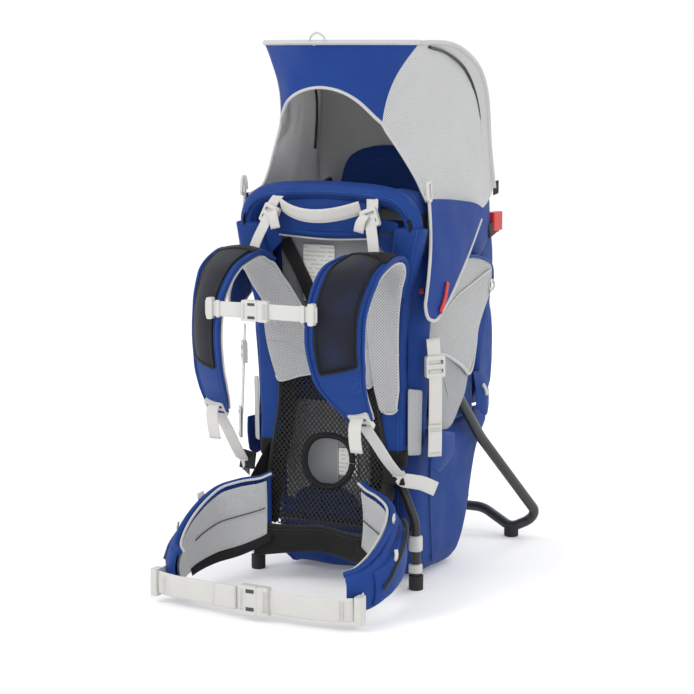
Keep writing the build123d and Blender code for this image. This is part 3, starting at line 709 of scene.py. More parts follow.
def make_hoop_shoulder(word, s):
    near = smooth(flip([(104, -8, 655), (134, -6, 646), (152, -8, 628), (158, -12, 606)], s), 20)
    far = smooth(flip([(112, 74, 640), (134, 74, 636), (148, 66, 630), (156, 44, 618)], s), 20)
    yoke = between(near, far, 12, lambda u, v: (0, 0, 5 * math.sin(math.pi * v)))
    yoke = turned(yoke, s < 0)
    put(pillow("hoop_shoulder_" + word, yoke, 8, [M["blue"]], edge=3))


def make_web_loops(word, s):
    for k, (low, high) in enumerate(((28, 44), (64, 92))):
        loop = [(149.6, -1.5, low), (149.8, -1.9, (low + high) / 2), (149.9, -2.4, high)]
        put(sleeve(f"frame_web_loop_{k + 1}_{word}", flip(loop, s), 22, 21, M["web"], count=8, crease=1,
                   square=0.8))


def make_top_hoop():
    half = [(152, -18, 590), (150, -18.5, 608), (140, -19, 626), (122, -19, 639), (96, -19.5, 645),
            (60, -20, 648), (25, -20, 649.5)]
    spine = flip(half, 1) + [Vector((0, -20, 650))] + flip(half[::-1], -1)
    count, ring, radius = 110, 24, 17.6
    line = smooth(spine, count)
    verts = []
    for j, p in enumerate(line):
        v = j / (count - 1)
        along = heading(line, j)
        back = Vector((0, 1, 0))
        up = along.cross(back).normalized()
        grow = 1 - 0.16 * abs(2 * v - 1) ** 4
        for k in range(ring):
            t = 2 * math.pi * k / ring
            r = radius * grow * (1 + 0.03 * noise.noise(p / 24 + Vector((k * 0.2, 0, 0))))
            groove = 1 - 0.16 * math.exp(-((t - 4.1) / 0.22) ** 2)
            verts.append(p + up * r * groove * math.sin(t) * -1 + back * r * groove * math.cos(t))
    put(new_object("top_hoop_roll", verts, loft_faces(count, ring), [M["blue"]], level=1),
        nodes=["top_hoop_pad"])
    seam = moved(line[6:-6], 0, -16.5, -4.5)
    put(tube("top_hoop_seam", seam, 1.3, M["deep"], 6))
    put(stitches("top_hoop_stitching", [moved(line[8:-8], 0, -17.2, 1.5)], M["blue_thread"]))


def make_cross_panel():
    low = node_box("cross_panel")[0]
    top = smooth([(-98, -24, 640), (-50, -26, 641), (0, -27, 642), (50, -26, 641), (98, -24, 640)], 30)
    bottom = smooth([(-90, -24, low.z + 6), (0, -25, low.z + 2), (90, -24, low.z + 6)], 30)
    grid = between(top, bottom, 12, lambda u, v: (0,
                                                  -5 * math.sin(math.pi * v) + 1.5
                                                  * math.sin(9 * u + 4 * v), 0))
    put(pillow("cross_panel_cover", grid, 13, [M["blue"]], edge=3, power=0.3), nodes=["cross_panel"])
    hem = moved(bottom, 0, -7.5, 9)
    put(tube("cross_panel_fold", hem, 4.2, M["blue"], 8, squash=0.6))
    put(tube("cross_panel_piping", moved(bottom, 0, -3.4, -1), 1.5, M["pipe"], 8))
    put(stitches("cross_panel_stitching", [moved(bottom, 0, -8.6, 15)], M["blue_thread"]))
    for word, s in SIDES:
        a = smooth(flip([(88, -26, 612), (90, -24, 590), (88, -20, 566)], s), 10)
        b = smooth(flip([(128, -24, 604), (126, -22, 578), (118, -19, 536)], s), 10)
        put(cloth("cross_panel_gusset_" + word, between(a, b, 8), M["blue"], 2.4, crease=2))


def make_grab_handle():
    high = node_box("grab_handle")[1]
    half, ends_y, z = high.x, high.y - 6, high.z - 9
    points = [(k * half, ends_y - 24 * (1 - k * k), z - 14 * (1 - k * k))
              for k in (-1, -0.7, -0.35, 0, 0.35, 0.7, 1)]
    handle = web("grab_handle_web", points, 25, M["web"], (0, -0.5, 1), thick=4.2, count=60)
    put(handle, "grab_handle", ["grab_handle"])
    rows = [[Vector(p) + Vector((0, -2.4 - 3 * k, 7.2 * k)) for p in smooth(points, 50)] for k in (-1, 1)]
    put(stitches("grab_handle_stitching", rows, M["thread"], 3.4), "grab_handle")
    for word, s in SIDES:
        bar = [Vector((s * x, y, zz)) for x, y, zz in ((half - 9, ends_y - 5, z + 7),
                                                       (half - 6, ends_y - 3, z - 9))]
        put(stitches("grab_handle_bartack_" + word, [bar], M["thread"], 1.6, radius=0.9), "grab_handle")
        tab = [(s * 84, -31, 646), (s * 90, -42, 634), (s * 93, -50, 622)]
        put(web("lifter_anchor_web_" + word, tab, 20, M["web"], (1, 0, 0), thick=2.4))


def make_back_panel():
    rows = [(-30, 404, 96), (-27, 368, 93), (-24, 330, 91), (-22, 290, 94), (-22, 250, 101),
            (-27, 205, 107), (-34, 168, 110), (-43, 125, 113), (-50, 96, 114)]
    left = smooth([(-half, y, z) for y, z, half in rows], 88)
    right = smooth([(half, y, z) for y, z, half in rows], 88)
    grid = [[l.lerp(r, i / 63) + Vector((0, 5 * (1 - (2 * i / 63 - 1) ** 2) - 2, 0)) for i in range(64)]
            for l, r in zip(left, right)]
    low, high = node_box("hand_hole_rim")
    centre = (low + high) / 2
    half_wide, half_high = (high.x - low.x) / 2 - 11, (high.z - low.z) / 2 - 16

    def hole_edge(t):
        c, s = math.cos(t), math.sin(t)
        wide = half_wide * (1 - 0.22 * max(0, -s) ** 1.5)
        return centre.x + wide * rounded(c, 0.8), centre.z + half_high * rounded(s, 0.85)

    def solid(u, v):
        p = grid[min(87, int(v * 87))][min(63, int(u * 63))]
        return ((p.x - centre.x) / half_wide) ** 2 + ((p.z - centre.z) / half_high) ** 2 > 1.42

    net_sheet = cloth("back_net", grid, M["net"], 1.4, level=0, keep=solid)
    put_sheet(net_sheet, grid, "pack", ["back_panel_mesh"], share=0.88)

    def depth(x, z):
        row = min(grid, key=lambda r: abs(r[0].z - z))
        return min(row, key=lambda p: abs(p.x - x)).y

    loop = []
    for k in range(73):
        x, z = hole_edge(2 * math.pi * k / 72)
        loop.append(Vector((x, 0, z)))
    ys = [depth(p.x, p.z) for p in loop]
    for k, p in enumerate(loop):
        p.y = sum(ys[(k + d) % 72] for d in range(-5, 6)) / 11
    outer = [Vector((centre.x + (p.x - centre.x) * 1.30, p.y - 1, centre.z + (p.z - centre.z) * 1.28))
             for p in loop]
    put(pillow("hand_hole_binding", between(outer, loop, 7), 7, [M["black"]], edge=2, power=0.5,
               ends=False), nodes=["hand_hole_rim"])
    put(stitches("hand_hole_stitching", [[p.lerp(q, 0.5) + Vector((0, -4.2, 0)) for p,
                                          q in zip(loop, outer)]],
                 M["dark_thread"]))
    for word, line, s in (("left", left, -1), ("right", right, 1)):
        put(tube("back_net_edge_" + word, moved(line, 0, -1.5, 0), 3.2, M["black_web"], 8))
        inner = moved(line[::3], -s * 30, 3.2, 0)
        outside = moved(line[::3], s * 2, 3, 0)
        put(cloth("back_net_backing_" + word, between(inner, outside, 6), M["black"], 1.4))
    ghost = smooth([(-58, -37, 150), (-20, -33, 166), (20, -33, 166), (58, -36, 148)], 30)
    foot = smooth([(-58, -45, 112), (0, -43, 108), (58, -45, 112)], 30)
    put(cloth("back_panel_pocket_lining", between(ghost, foot, 8, lambda u, v: (0, 8, 0)), M["deep"], 1.2))


def make_lumbar_pad():
    top = smooth([(-113, -72, 104), (-86, -66, 97), (-45, -55, 96), (0, -52, 100), (45, -55, 96),
                  (86, -66, 97), (113, -72, 104)], 48)
    bottom = smooth([(-110, -82, 44), (-60, -61, 50), (0, -53, 57), (60, -61, 50), (110, -82, 44)], 48)
    grid = between(top, bottom, 12, lambda u, v: (0, -2 * math.sin(math.pi * v), 0))
    put(pillow("lumbar_band", grid, 10, [M["black"]], edge=3), nodes=["lumbar_pad"])
    put(tube("lumbar_binding", moved(top, 0, -1, 0), 2.6, M["black_web"], 8))
    put(stitches("lumbar_stitching", [[p.lerp(q, 0.12) + Vector((0, -6, 0)) for p, q in zip(top, bottom)]],
                 M["dark_thread"]))


# ---------------------------------------------------------------- bags

def bag(name, outline, half, material, round_mm=22.0, puff=6.0, crease=3.0, around=72, seed=0.0):
    """A sewn bag: an outline in Y and Z carried across X, drawn in towards its two side panels."""
    loop = smooth([(0, y, z) for y, z in outline] + [(0, *outline[0])], around + 1, 10)[:-1]
    middle = sum(loop, Vector()) / around
    rings, stations = [], 22
    for j in range(stations):
        x = -half + 2 * half * j / (stations - 1)
        gap = max(0.0, round_mm - (half - abs(x)))
        draw = round_mm - math.sqrt(max(0.0, round_mm ** 2 - gap ** 2))
        swell_mm = puff * (1 - (x / half) ** 2)
        ring = []
        for p in loop:
            out = p - middle
            size = out.length
            q = middle + out * ((size - draw + swell_mm) / size)
            q.x = x
            q += out.normalized() * crease * noise.noise(Vector((x, p.y, p.z)) / 48 + Vector((seed, 0, 0)))
            ring.append(q)
        rings.append(ring)
    verts = [q for ring in rings for q in ring]
    faces = grid_faces(stations, around, wrap=True)
    for end, x in ((0, -half), (stations - 1, half)):
        ring = rings[end]
        heart = sum(ring, Vector()) / around
        last = [end * around + k for k in range(around)]
        for share in (0.8, 0.55, 0.28):
            start = len(verts)
            for q in ring:
                p = heart.lerp(q, share)
                p.x += math.copysign(3.5 * (1 - share * share), x)
                p.x += crease * 0.8 * noise.noise(p / 52 + Vector((seed, 7, 0)))
                verts.append(p)
            now = [start + k for k in range(around)]
            faces += [(last[k], last[(k + 1) % around], now[(k + 1) % around], now[k])
                      for k in range(around)]
            last = now
        verts.append(heart + Vector((math.copysign(3.5, x), 0, 0)))
        faces += [(last[k], last[(k + 1) % around], len(verts) - 1) for k in range(around)]
    return new_object(name, verts, faces, [material], level=1), rings


def make_lower_bag():
    high = node_box("lower_bag")[1]
    outline = [(20, 244), (18, 180), (19, 110), (32, 30), (60, 8), (110, 5), (190, 6), (226, 22), (252, 66),
               (276, 130), (294, 190), (318, 226), (338, 250), (250, 251), (120, 251)]
    body, rings = bag("lower_bag_body", outline, high.x - 4, M["blue"], puff=1.0, crease=4.0, seed=3,
                      around=84)
    put(body, "pack", ["lower_bag"])
    for word, s in SIDES:
        x = s * (high.x - 6)
        ring = rings[-3] if s > 0 else rings[2]
        edge = ring + ring[:1]
        put(tube("lower_bag_seam_" + word, edge, 1.8, M["blue"], 6))
        dart = smooth([(x + s * 4, 92, 238), (x + s * 5.5, 78, 160), (x + s * 5, 82, 84),
                       (x + s * 3, 92, 26)], 40)
        put(tube("lower_bag_side_seam_" + word, dart, 1.5, M["deep"], 6))
        rows = [moved(dart, s * 1.2, k * 4, 0) for k in (-1, 1)]
        put(stitches("lower_bag_side_stitching_" + word, rows, M["blue_thread"]))
    back = smooth([(-118, 268, 96), (-60, 272, 100), (0, 273, 101), (60, 272, 100), (118, 268, 96)], 40)
    zip_line = moved(back, 0, 4, 0)
    put(web("lower_bag_zip", zip_line, 16, M["black_web"], (0, 0.3, 1), count=50))
    put(stitches("lower_bag_zip_teeth", [moved(zip_line, 0, 2, 0)], M["thread"], 2.6, 0.5, 1.0),
        "pack")
    lining = between(smooth([(-96, 8, 300), (0, 6, 300), (96, 8, 300)], 24),
                     smooth([(-100, 12, 128), (0, 9, 124), (100, 12, 128)], 24), 20,
                     lambda u, v: (0, 2.5 * math.sin(7 * u) * math.sin(5 * v), 0))
    put(cloth("bag_front_lining", lining, M["lining"], 1.6, crease=2))
    put(cloth("bag_front_tag", between(smooth([(4, 3, 224), (40, 3, 224)], 8),
                                       smooth([(4, 3, 176), (40, 3, 176)], 8), 6),
              M["label"], 0.8))
    put(tube("bag_front_seam", smooth([(0, 4, 296), (2, 5, 210), (0, 6, 130)], 20), 1.2, M["thread"], 6),
        "pack")


def make_cockpit():
    low, high = node_box("cockpit_shell")
    half, rear, front, base, top = high.x, high.y, low.y, low.z, high.z
    r, ring, rows = 26.0, 132, 60

    def plan(k):
        """A point of the rounded oblong plan and its outward direction; k goes from 0 to 1 once round."""
        wide, deep = 2 * half - 2 * r, rear - front - 2 * r
        turn = math.pi * r / 2
        total = 2 * wide + 2 * deep + 4 * turn
        d = (k % 1) * total
        corners = [((half - r, front + r), (0, -1), wide), ((half - r, rear - r), (1, 0), deep),
                   ((-half + r, rear - r), (0, 1), wide), ((-half + r, front + r), (-1, 0), deep)]
        start = [(-half + r, front), (half, front + r), (half - r, rear), (-half, rear - r)]
        step = [(1, 0), (0, 1), (-1, 0), (0, -1)]
        for (centre, out, run), a, go in zip(corners, start, step):
            if d <= run:
                return Vector((a[0] + go[0] * d, a[1] + go[1] * d, 0)), Vector((*out, 0))
            d -= run
            if d <= turn:
                t = math.atan2(out[1], out[0]) + d / r
                n = Vector((math.cos(t), math.sin(t), 0))
                return Vector((centre[0], centre[1], 0)) + n * r, n
            d -= turn
        return Vector((-half + r, front, 0)), Vector((0, -1, 0))

    grid = []
    for j in range(rows):
        z = base + (top - base) * j / (rows - 1)
        row = []
        for k in range(ring + 1):
            p, out = plan(k / ring)
            side = abs(out.x) ** 2
            high_up = max(0.0, min(1.0, (z - 405) / 60))
            bow = side * 15 * high_up * math.sin(math.pi * min(1, max(0, (p.y - front) / (rear - front))))
            fold = 2.4 * noise.noise(Vector((p.x, p.y, z)) / 60)
            row.append(Vector((p.x, p.y, z)) + out * (bow + fold - 1))
        grid.append(row)
    leg_y, leg_z, leg_a, leg_b = 91.0, 311.0, 58.0, 38.0

    def solid(u, v):
        p = grid[min(rows - 1, int(v * (rows - 1)))][min(ring, int(u * ring))]
        if abs(p.x) < half - 20:
            return True
        return ((p.y - leg_y) / leg_a) ** 4 + ((p.z - leg_z) / leg_b) ** 4 > 1

    put(cloth("cockpit_walls", grid, M["blue"], 3.0, level=0, keep=solid), nodes=["cockpit_shell"])
    inner = []
    for row in grid:
        inner.append([p + (Vector((0, (front + rear) / 2, p.z)) - p).normalized() * 5 for p in row])
    put(cloth("cockpit_lining", inner, M["lining"], 1.4, level=0, keep=solid))
    floor = between(smooth([(-half + 14, front + 8, base + 5), (half - 14, front + 8, base + 5)], 16),
                    smooth([(-half + 14, rear - 8, base + 5), (half - 14, rear - 8, base + 5)], 16), 12)
    put(cloth("cockpit_floor", floor, M["lining"], 3, crease=2))
    for word, s in SIDES:
        loop = []
        for k in range(61):
            t = 2 * math.pi * k / 60
            loop.append(Vector((s * (half - 2), leg_y + leg_a * rounded(math.cos(t), 0.5),
                                leg_z + leg_b * rounded(math.sin(t), 0.5))))
        put(tube("leg_hole_binding_" + word, loop, 4.6, M["black_web"], 8, squash=0.8))
        seam = smooth([(s * (half + 4), 40, 600), (s * (half + 4), 34, 520), (s * (half + 1), 32, 440)], 40)
        put(tube("cockpit_side_seam_" + word, seam, 1.4, M["deep"], 6))
    wall = between(smooth([(-112, 13, 574), (0, 12, 574), (112, 13, 574)], 30),
                   smooth([(-104, 13, 410), (0, 12, 406), (104, 13, 410)], 30), 20)
    put(cloth("cockpit_front_lining", wall, M["lining"], 1.2, crease=2.4))
    strap = [(-100, 7, 566), (-56, 6, 490), (-20, 6, 410), (-6, 6, 380)]
    put(web("cockpit_black_strap", strap, 24, M["black_web"], (0.9, 0, 0.5)))


def make_cockpit_rim():
    low, high = node_box("cockpit_rim")
    z = (low.z + high.z) / 2
    half = high.x - 13
    spine = [(half, low.y, z), (half, 170, z), (half, 215, z), (half - 30, high.y - 13, z),
             (0, high.y - 11, z),
             (-half + 30, high.y - 13, z), (-half, 215, z), (-half, 170, z), (-half, low.y, z)]
    count, ring = 90, 20
    half_thick, half_tall = 11, 16.5
    line = smooth(spine, count)
    verts = []
    for j, p in enumerate(line):
        along = heading(line, j)
        side = along.cross(Vector((0, 0, 1))).normalized()
        for k in range(ring):
            t = 2 * math.pi * k / ring
            c, s = math.cos(t), math.sin(t)
            r = 1 + 0.05 * noise.noise(p / 22 + Vector((0, 0, k * 0.3)))
            verts.append(p + side * rounded(c, 0.8) * half_thick * r
                         + Vector((0, 0, rounded(s, 0.8) * half_tall * r)))
    put(new_object("cockpit_rim_roll", verts, loft_faces(count, ring), [M["blue"]], level=1),
        nodes=["cockpit_rim"])


def make_rear_pack():
    outline = [(264, 262), (330, 262), (345, 300), (349, 360), (350, 440), (347, 520), (338, 580),
               (314, 615), (280, 624), (264, 620), (264, 440)]
    body, _ = bag("rear_pack_body", outline, 134, M["blue"], puff=0.5, crease=4.5, seed=11, round_mm=26,
                  around=80)
    put(body, "pack", ["rear_pack"])
    zips = smooth([(-104, 338, 300), (-106, 348, 400), (-104, 346, 500), (-84, 336, 572), (-40, 327, 590),
                   (0, 326, 592),
                   (40, 327, 590), (84, 336, 572), (104, 346, 500), (106, 348, 400), (104, 338, 300)], 120)
    zips = moved(zips, 0, 3.5, 0)
    put(tube("rear_pack_zip", zips, 4.5, M["black_web"], 8, squash=0.5))
    put(stitches("rear_pack_zip_teeth", [moved(zips, 0, 2.6, 0)], M["thread"], 2.8, 0.5, 1.0), "pack")
    for k, z in enumerate((380, 470)):
        y = 353.5 if k == 0 else 352.5
        line = smooth([(-92, y - 3, z), (0, y, z - 4), (92, y - 3, z)], 30)
        put(tube(f"rear_pack_seam_{k + 1}", line, 1.7, M["deep"], 6))
        rows = [moved(line, 0, 0.6, d) for d in (-4, 4)]
        put(stitches(f"rear_pack_stitching_{k + 1}", rows, M["blue_thread"]))
    loop_line = [(-34, 344, 610), (-20, 350, 622), (0, 352, 626), (20, 350, 622), (34, 344, 610)]
    put(web("rear_grab_loop", loop_line, 22, M["web"], (0, 0.8, 0.6), thick=3, count=30))
    for word, s in SIDES:
        upper = smooth([(s * 141, 180, 594), (s * 143, 192, 626), (s * 143, 225, 650), (s * 142, 262, 654),
                        (s * 139, 300, 640)], 30)
        lower = smooth([(s * 142, 188, 560), (s * 144, 212, 540), (s * 144, 240, 526), (s * 142, 270, 534),
                        (s * 139, 306, 560)], 30)
        grid = between(upper, lower, 16, lambda u, v: (s * 3 * math.sin(math.pi * u)
                                                       * math.sin(math.pi * v), 0, 0))
        grid = turned(grid, s < 0)
        put(pillow("side_wing_" + word, grid, 11, [M["blue"]], edge=3))
        put(tube("side_wing_piping_" + word, moved(upper, s * 2, 0, 1), 1.8, M["pipe"], 8))
        tag = between(smooth([(s * 148, 300, 652), (s * 149, 322, 655)], 6),
                      smooth([(s * 148, 300, 628), (s * 149, 322, 631)], 6), 5)
        put(cloth("black_tag_" + word, tag, M["black"], 1.0))
        web_line = [(s * 146, 286, 566), (s * 147, 306, 572), (s * 144, 330, 576), (s * 138, 346, 574)]
        put(web("rear_buckle_web_" + word, web_line, 25, M["black_web"], (0, -0.2, 1)))


def make_headrest():
    top = smooth([(-104, 208, 640), (-92, 214, 690), (-60, 218, 712), (0, 220, 718), (60, 218, 712),
                  (92, 214, 690), (104, 208, 640)], 44)
    bottom = smooth([(-100, 214, 612), (-60, 218, 610), (0, 220, 610), (60, 218, 610), (100, 214, 612)], 44)
    grid = between(top, bottom, 16, lambda u, v: (0, 10 * math.sin(math.pi * u) - 6, 0))
    body = pillow("headrest_pad", grid, 22, [M["blue"]], edge=4, level=0)
    put(swell(body, cap=6), "pack", ["headrest"])
    channel = smooth([(-72, 200, 668), (-30, 203, 690), (30, 203, 690), (72, 200, 668)], 40)
    put(stitches("headrest_stitching", [channel], M["blue_thread"]))


def make_child_seat():
    a = smooth([(-80, 66, 344), (-80, 150, 345), (-78, 234, 346)], 30)
    b = smooth([(80, 66, 344), (80, 150, 345), (78, 234, 346)], 30)
    grid = between(a, b, 24, lambda u, v: (0, 0, -3 * math.sin(math.pi * v)))
    put(swell(pillow("seat_cushion", grid, 13, [M["lining"]], edge=4, level=0), cap=4), "child_seat",
        ["seat_pad"])
    a = smooth([(-88, 245, 342), (-90, 245, 450), (-84, 246, 556)], 40)
    b = smooth([(88, 245, 342), (90, 245, 450), (84, 246, 556)], 40)
    grid = between(a, b, 26)
    put(swell(pillow("seat_back_cushion", grid, 12, [M["lining"]], edge=4, level=0), cap=3), "child_seat",
        ["seat_back"])
    for word, s in SIDES:
        points = [(s * 38, 236, 540), (s * 38, 222, 528), (s * 36, 205, 500), (s * 32, 197, 462),
                  (s * 27, 196, 425)]
        pad = web("child_strap_pad_" + word, points, 34, M["blue"], (1, 0, 0), thick=7, count=40)
        put(pad, "child_seat", once("child_straps", s))
        rows = [moved(smooth(points, 40), k * 13, -4.6, 0) for k in (-1, 1)]
        put(stitches("child_strap_stitching_" + word, rows, M["blue_thread"]), "child_seat")
        waist = [(s * 26, 195, 428), (s * 50, 206, 400), (s * 74, 226, 372)]
        put(web("child_waist_web_" + word, waist, 20, M["black_web"], (0, 0.4, 1)), "child_seat")


def make_side_pocket(word, s):
    top = smooth(flip([(158, 20, 470), (164, 52, 532), (168, 110, 538), (170, 169, 538), (166, 225, 528),
                       (158, 273, 512), (148, 300, 480)], s), 60)
    bottom = smooth(flip([(158, 18, 398), (165, 44, 388), (168, 74, 380), (170, 120, 360), (168, 150, 344),
                          (164, 170, 336), (160, 192, 346), (156, 213, 380), (151, 234, 412),
                          (147, 288, 464)], s), 60)
    grid = between(top, bottom, 40, lambda u, v: (s * (7 * math.sin(math.pi * u)
                                                       * math.sin(math.pi * v) ** 0.8), 0, 0))
    grid = turned(grid, s < 0)
    put_sheet(cloth("side_pocket_" + word, grid, M["pocket"], 1.4, crease=2.4, seed=s * 3), grid, "pack",
              once("side_pockets", s), share=1.0)
    put(tube("side_pocket_top_band_" + word, moved(top, s * 1.0, 0, -2), 3.4, M["blue"], 8,
             squash=0.6))
    put(tube("side_pocket_piping_" + word, moved(bottom, s * 0.8, 0, 0), 3.2, M["pipe"], 8,
             squash=0.7))
    mouth = smooth(flip([(160, 30, 420), (172, 90, 470), (176, 170, 494), (168, 240, 504), (150, 290, 500)],
                        s), 50)
    put(tube("side_pocket_inner_hem_" + word, mouth, 2.6, M["bind"], 8, squash=0.6))


def make_side_gusset(word, s):
    lining_top = smooth(flip([(156, 22, 402), (162, 74, 386), (163, 120, 366), (161, 150, 350),
                              (158, 180, 336)], s), 40)
    lining_low = smooth(flip([(154, 46, 306), (157, 60, 266), (159, 76, 255), (160, 108, 262),
                              (159, 147, 294), (156, 184, 330)], s), 40)
    quilt = between(lining_top, lining_low, 30, lambda u, v: (s * 3 * math.sin(math.pi * u), 0, 0))
    quilt = turned(quilt, s < 0)
    put(cloth("side_gusset_lining_" + word, quilt, M["lining"], 2.4, crease=3, seed=5))
    seams = [smooth(flip([(165, 58, 372), (165, 84, 318), (163, 112, 268)], s), 20),
             smooth(flip([(165, 104, 366), (164, 124, 334), (162, 152, 304)], s), 20)]
    inner = smooth(flip([(147, -10, 598), (139, -8, 520), (135, -6, 430), (134, -4, 300), (134, -4, 236)],
                        s), 40)
    outer = smooth(flip([(156, 36, 598), (163, 32, 520), (162, 22, 430), (156, 26, 330), (152, 24, 236)],
                        s), 40)
    fold = between(inner, outer, 12, lambda u, v: (s * 4 * math.sin(math.pi * v),
                                                   -5 * math.sin(math.pi * v), 0))
    fold = turned(fold, s > 0)
    put(cloth("side_front_gusset_" + word, fold, M["blue"], 2.4, crease=2.0, seed=9))
    strip = between(smooth(flip([(140, -14, 336), (140, -12, 224)], s), 10),
                    smooth(flip([(158, 4, 332), (156, 4, 224)], s), 10), 8)
    put(cloth("rail_side_strip_" + word, strip, M["belt_grey"], 2.4, crease=1.5))
    stub = between(smooth(flip([(155, -4, 498), (158, 6, 498)], s), 4),
                   smooth(flip([(155, -4, 489), (158, 6, 489)], s), 4), 4)
    put(cloth("side_red_stub_" + word, stub, M["red_web"], 2.6))
    for k, line in enumerate(seams):
        put(tube(f"side_gusset_seam_{k + 1}_{word}", line, 1.0, M["thread"], 6), "pack")


def make_side_strap(word, s):
    upper = [(s * 176, 4, 418), (s * 178, 5, 392), (s * 179, 6, 372)]
    put(web("side_strap_upper_" + word, upper, 24, M["web"], (s * 0.6, 0.8, 0)),
        nodes=once("side_straps", s))
    lower = [(s * 180, 6, 368), (s * 181, 5, 320), (s * 182, 2, 262), (s * 182, 0, 226)]
    put(web("side_strap_tail_" + word, lower, 24, M["web"], (s * 0.6, 0.8, 0), thick=2.4))
    folded = [(s * 183.6, -1.2, 278), (s * 184, -1.6, 250), (s * 183.6, -1.8, 226)]
    put(web("side_strap_fold_" + word, folded, 24.5, M["web"], (s * 0.6, 0.8, 0), thick=2.4))
    bar = [[Vector((s * (185.4 + 6 * k), -3 + 8 * k, z)) for k in (-1, 1)] for z in (272, 268, 232)]
    put(stitches("side_strap_bartack_" + word, bar, M["thread"], 2.4, radius=0.7))


def make_stirrup(word, s):
    body = "stirrup_" + word
    rim_top = smooth(flip([(170, 2, 262), (173, 50, 258), (171, 98, 248)], s), 24)
    rim_low = smooth(flip([(170, 8, 202), (173, 40, 192), (171, 92, 210)], s), 24)
    panel = between(rim_top, rim_low, 14, lambda u, v: (s * 2.2 * math.sin(math.pi * v), 0, 0))
    panel = turned(panel, s < 0)
    put(pillow("stirrup_sling_" + word, panel, 8, [M["blue"]], edge=3), body, nodes=["stirrup_" + word])
    put(stitches("stirrup_stitching_" + word, [moved(rim_top, s * 3.4, 0, -5),
                                               moved(rim_low, s * 3.4, 0, 5)], M["blue_thread"]), body)


def make_stand_flap(word, s):
    flap_top = smooth(flip([(142, 236, 330), (146, 262, 326), (144, 286, 318)], s), 14)
    flap_low = smooth(flip([(150, 232, 268), (158, 256, 250), (152, 280, 262)], s), 14)
    flap = between(flap_top, flap_low, 12, lambda u, v: (s * 3 * math.sin(math.pi * v), 0, 0))
    flap = turned(flap, s < 0)
    put(cloth("stand_flap_" + word, flap, M["blue"], 2.2, crease=2.5))
    pull = [(s * 154, 252, 306), (s * 158, 256, 296), (s * 159, 258, 286)]
    put(tube("stand_flap_pull_" + word, smooth(pull, 12), 3.2, M["white"], 8, squash=0.6))


def make_side_tags(word, s):
    ring = [Vector((s * (164 + 2 * math.sin(t)), 262 + 7 * math.sin(t), 478 + 9 * math.cos(t)))
            for t in [2 * math.pi * k / 24 for k in range(25)]]
    put(tube("pocket_zip_ring_" + word, ring, 1.6, M["white"], 8))
    tag = between(smooth([(s * 154, 282, 486), (s * 150, 298, 484)], 6),
                  smooth([(s * 154, 282, 460), (s * 150, 298, 458)], 6), 5)
    put(cloth("white_tag_" + word, tag, M["label"], 1.0))


def make_care_label():
    low, high = node_box("care_label")
    y = low.y - 7
    grid = between(smooth([(low.x, y, high.z), (high.x, y, high.z)], 12),
                   smooth([(low.x, y, low.z), (high.x, y, low.z)], 12),
                   16, lambda u, v: (0, -1.2 * math.sin(math.pi * u), 0))
    put(cloth("care_label_print", grid, M["label"], 0.8), nodes=["care_label"])


# ---------------------------------------------------------------- harness

# centre line of a shoulder strap: x, y, z, width, and the turn of its width away from X in degrees
STRAP_REAR = {"right": [(123, -45, 300, 26, 0), (120, -45, 336, 42, 0), (114, -44, 400, 50, 0),
                        (112, -44, 460, 56, 0), (116, -46, 505, 60, 0), (121, -54, 533, 66, 5)],
              "left": [(58, -43, 440, 60, 0), (76, -43, 470, 56, 0), (96, -44, 497, 56, 0),
                       (115, -50, 528, 62, 3)]}
STRAP_FRONT = [(122, -76, 548, 74, 10), (120, -118, 548, 80, 18), (116, -170, 528, 86, 28),
               (114, -205, 486, 86, 33),
               (114, -214, 436, 86, 33), (117, -204, 384, 76, 30), (123, -184, 346, 56, 20),
               (130, -158, 312, 38, 8), (132, -146, 296, 28, 0)]


def strap_frame(word, side, count):
    """Points, widths, width and outward directions along a shoulder strap, and the number of its crest."""
    stations = STRAP_REAR[word] + STRAP_FRONT
    line = smooth(flip([p[:3] for p in stations], side), count)
    length = [0.0]
    for a, b in zip(stations, stations[1:]):
        length.append(length[-1] + (Vector(b[:3]) - Vector(a[:3])).length)
    out = []
    for i, p in enumerate(line):
        along = heading(line, i)
        share = length[-1] * i / (count - 1)
        k = max(j for j in range(len(length) - 1) if length[j] <= share + 1e-6)
        part = (share - length[k]) / (length[k + 1] - length[k])
        w, turn = [stations[k][n] * (1 - part) + stations[k + 1][n] * part for n in (3, 4)]
        across = Vector((math.cos(math.radians(turn)), side * math.sin(math.radians(turn)), 0))
        across = (across - along * across.dot(along)).normalized()
        out.append((p, w, across, along.cross(across).normalized()))
    return out, round((count - 1) * length[len(STRAP_REAR[word])] / length[-1])


def strap_rows(stations, first, last, share, lift, cols):
    """A grid over part of the strap, `share` of its width wide and `lift` outside its centre line."""
    part = stations[first:last]
    rows = []
    for p, w, across, outward in part:
        row = []
        for i in range(cols):
            u = i / (cols - 1) - 0.5
            crown = 5.0 * (1 - (2 * u) ** 2)
            row.append(p + across * (u * w * share) + outward * (lift + crown - 2))
        rows.append(row)
    return rows


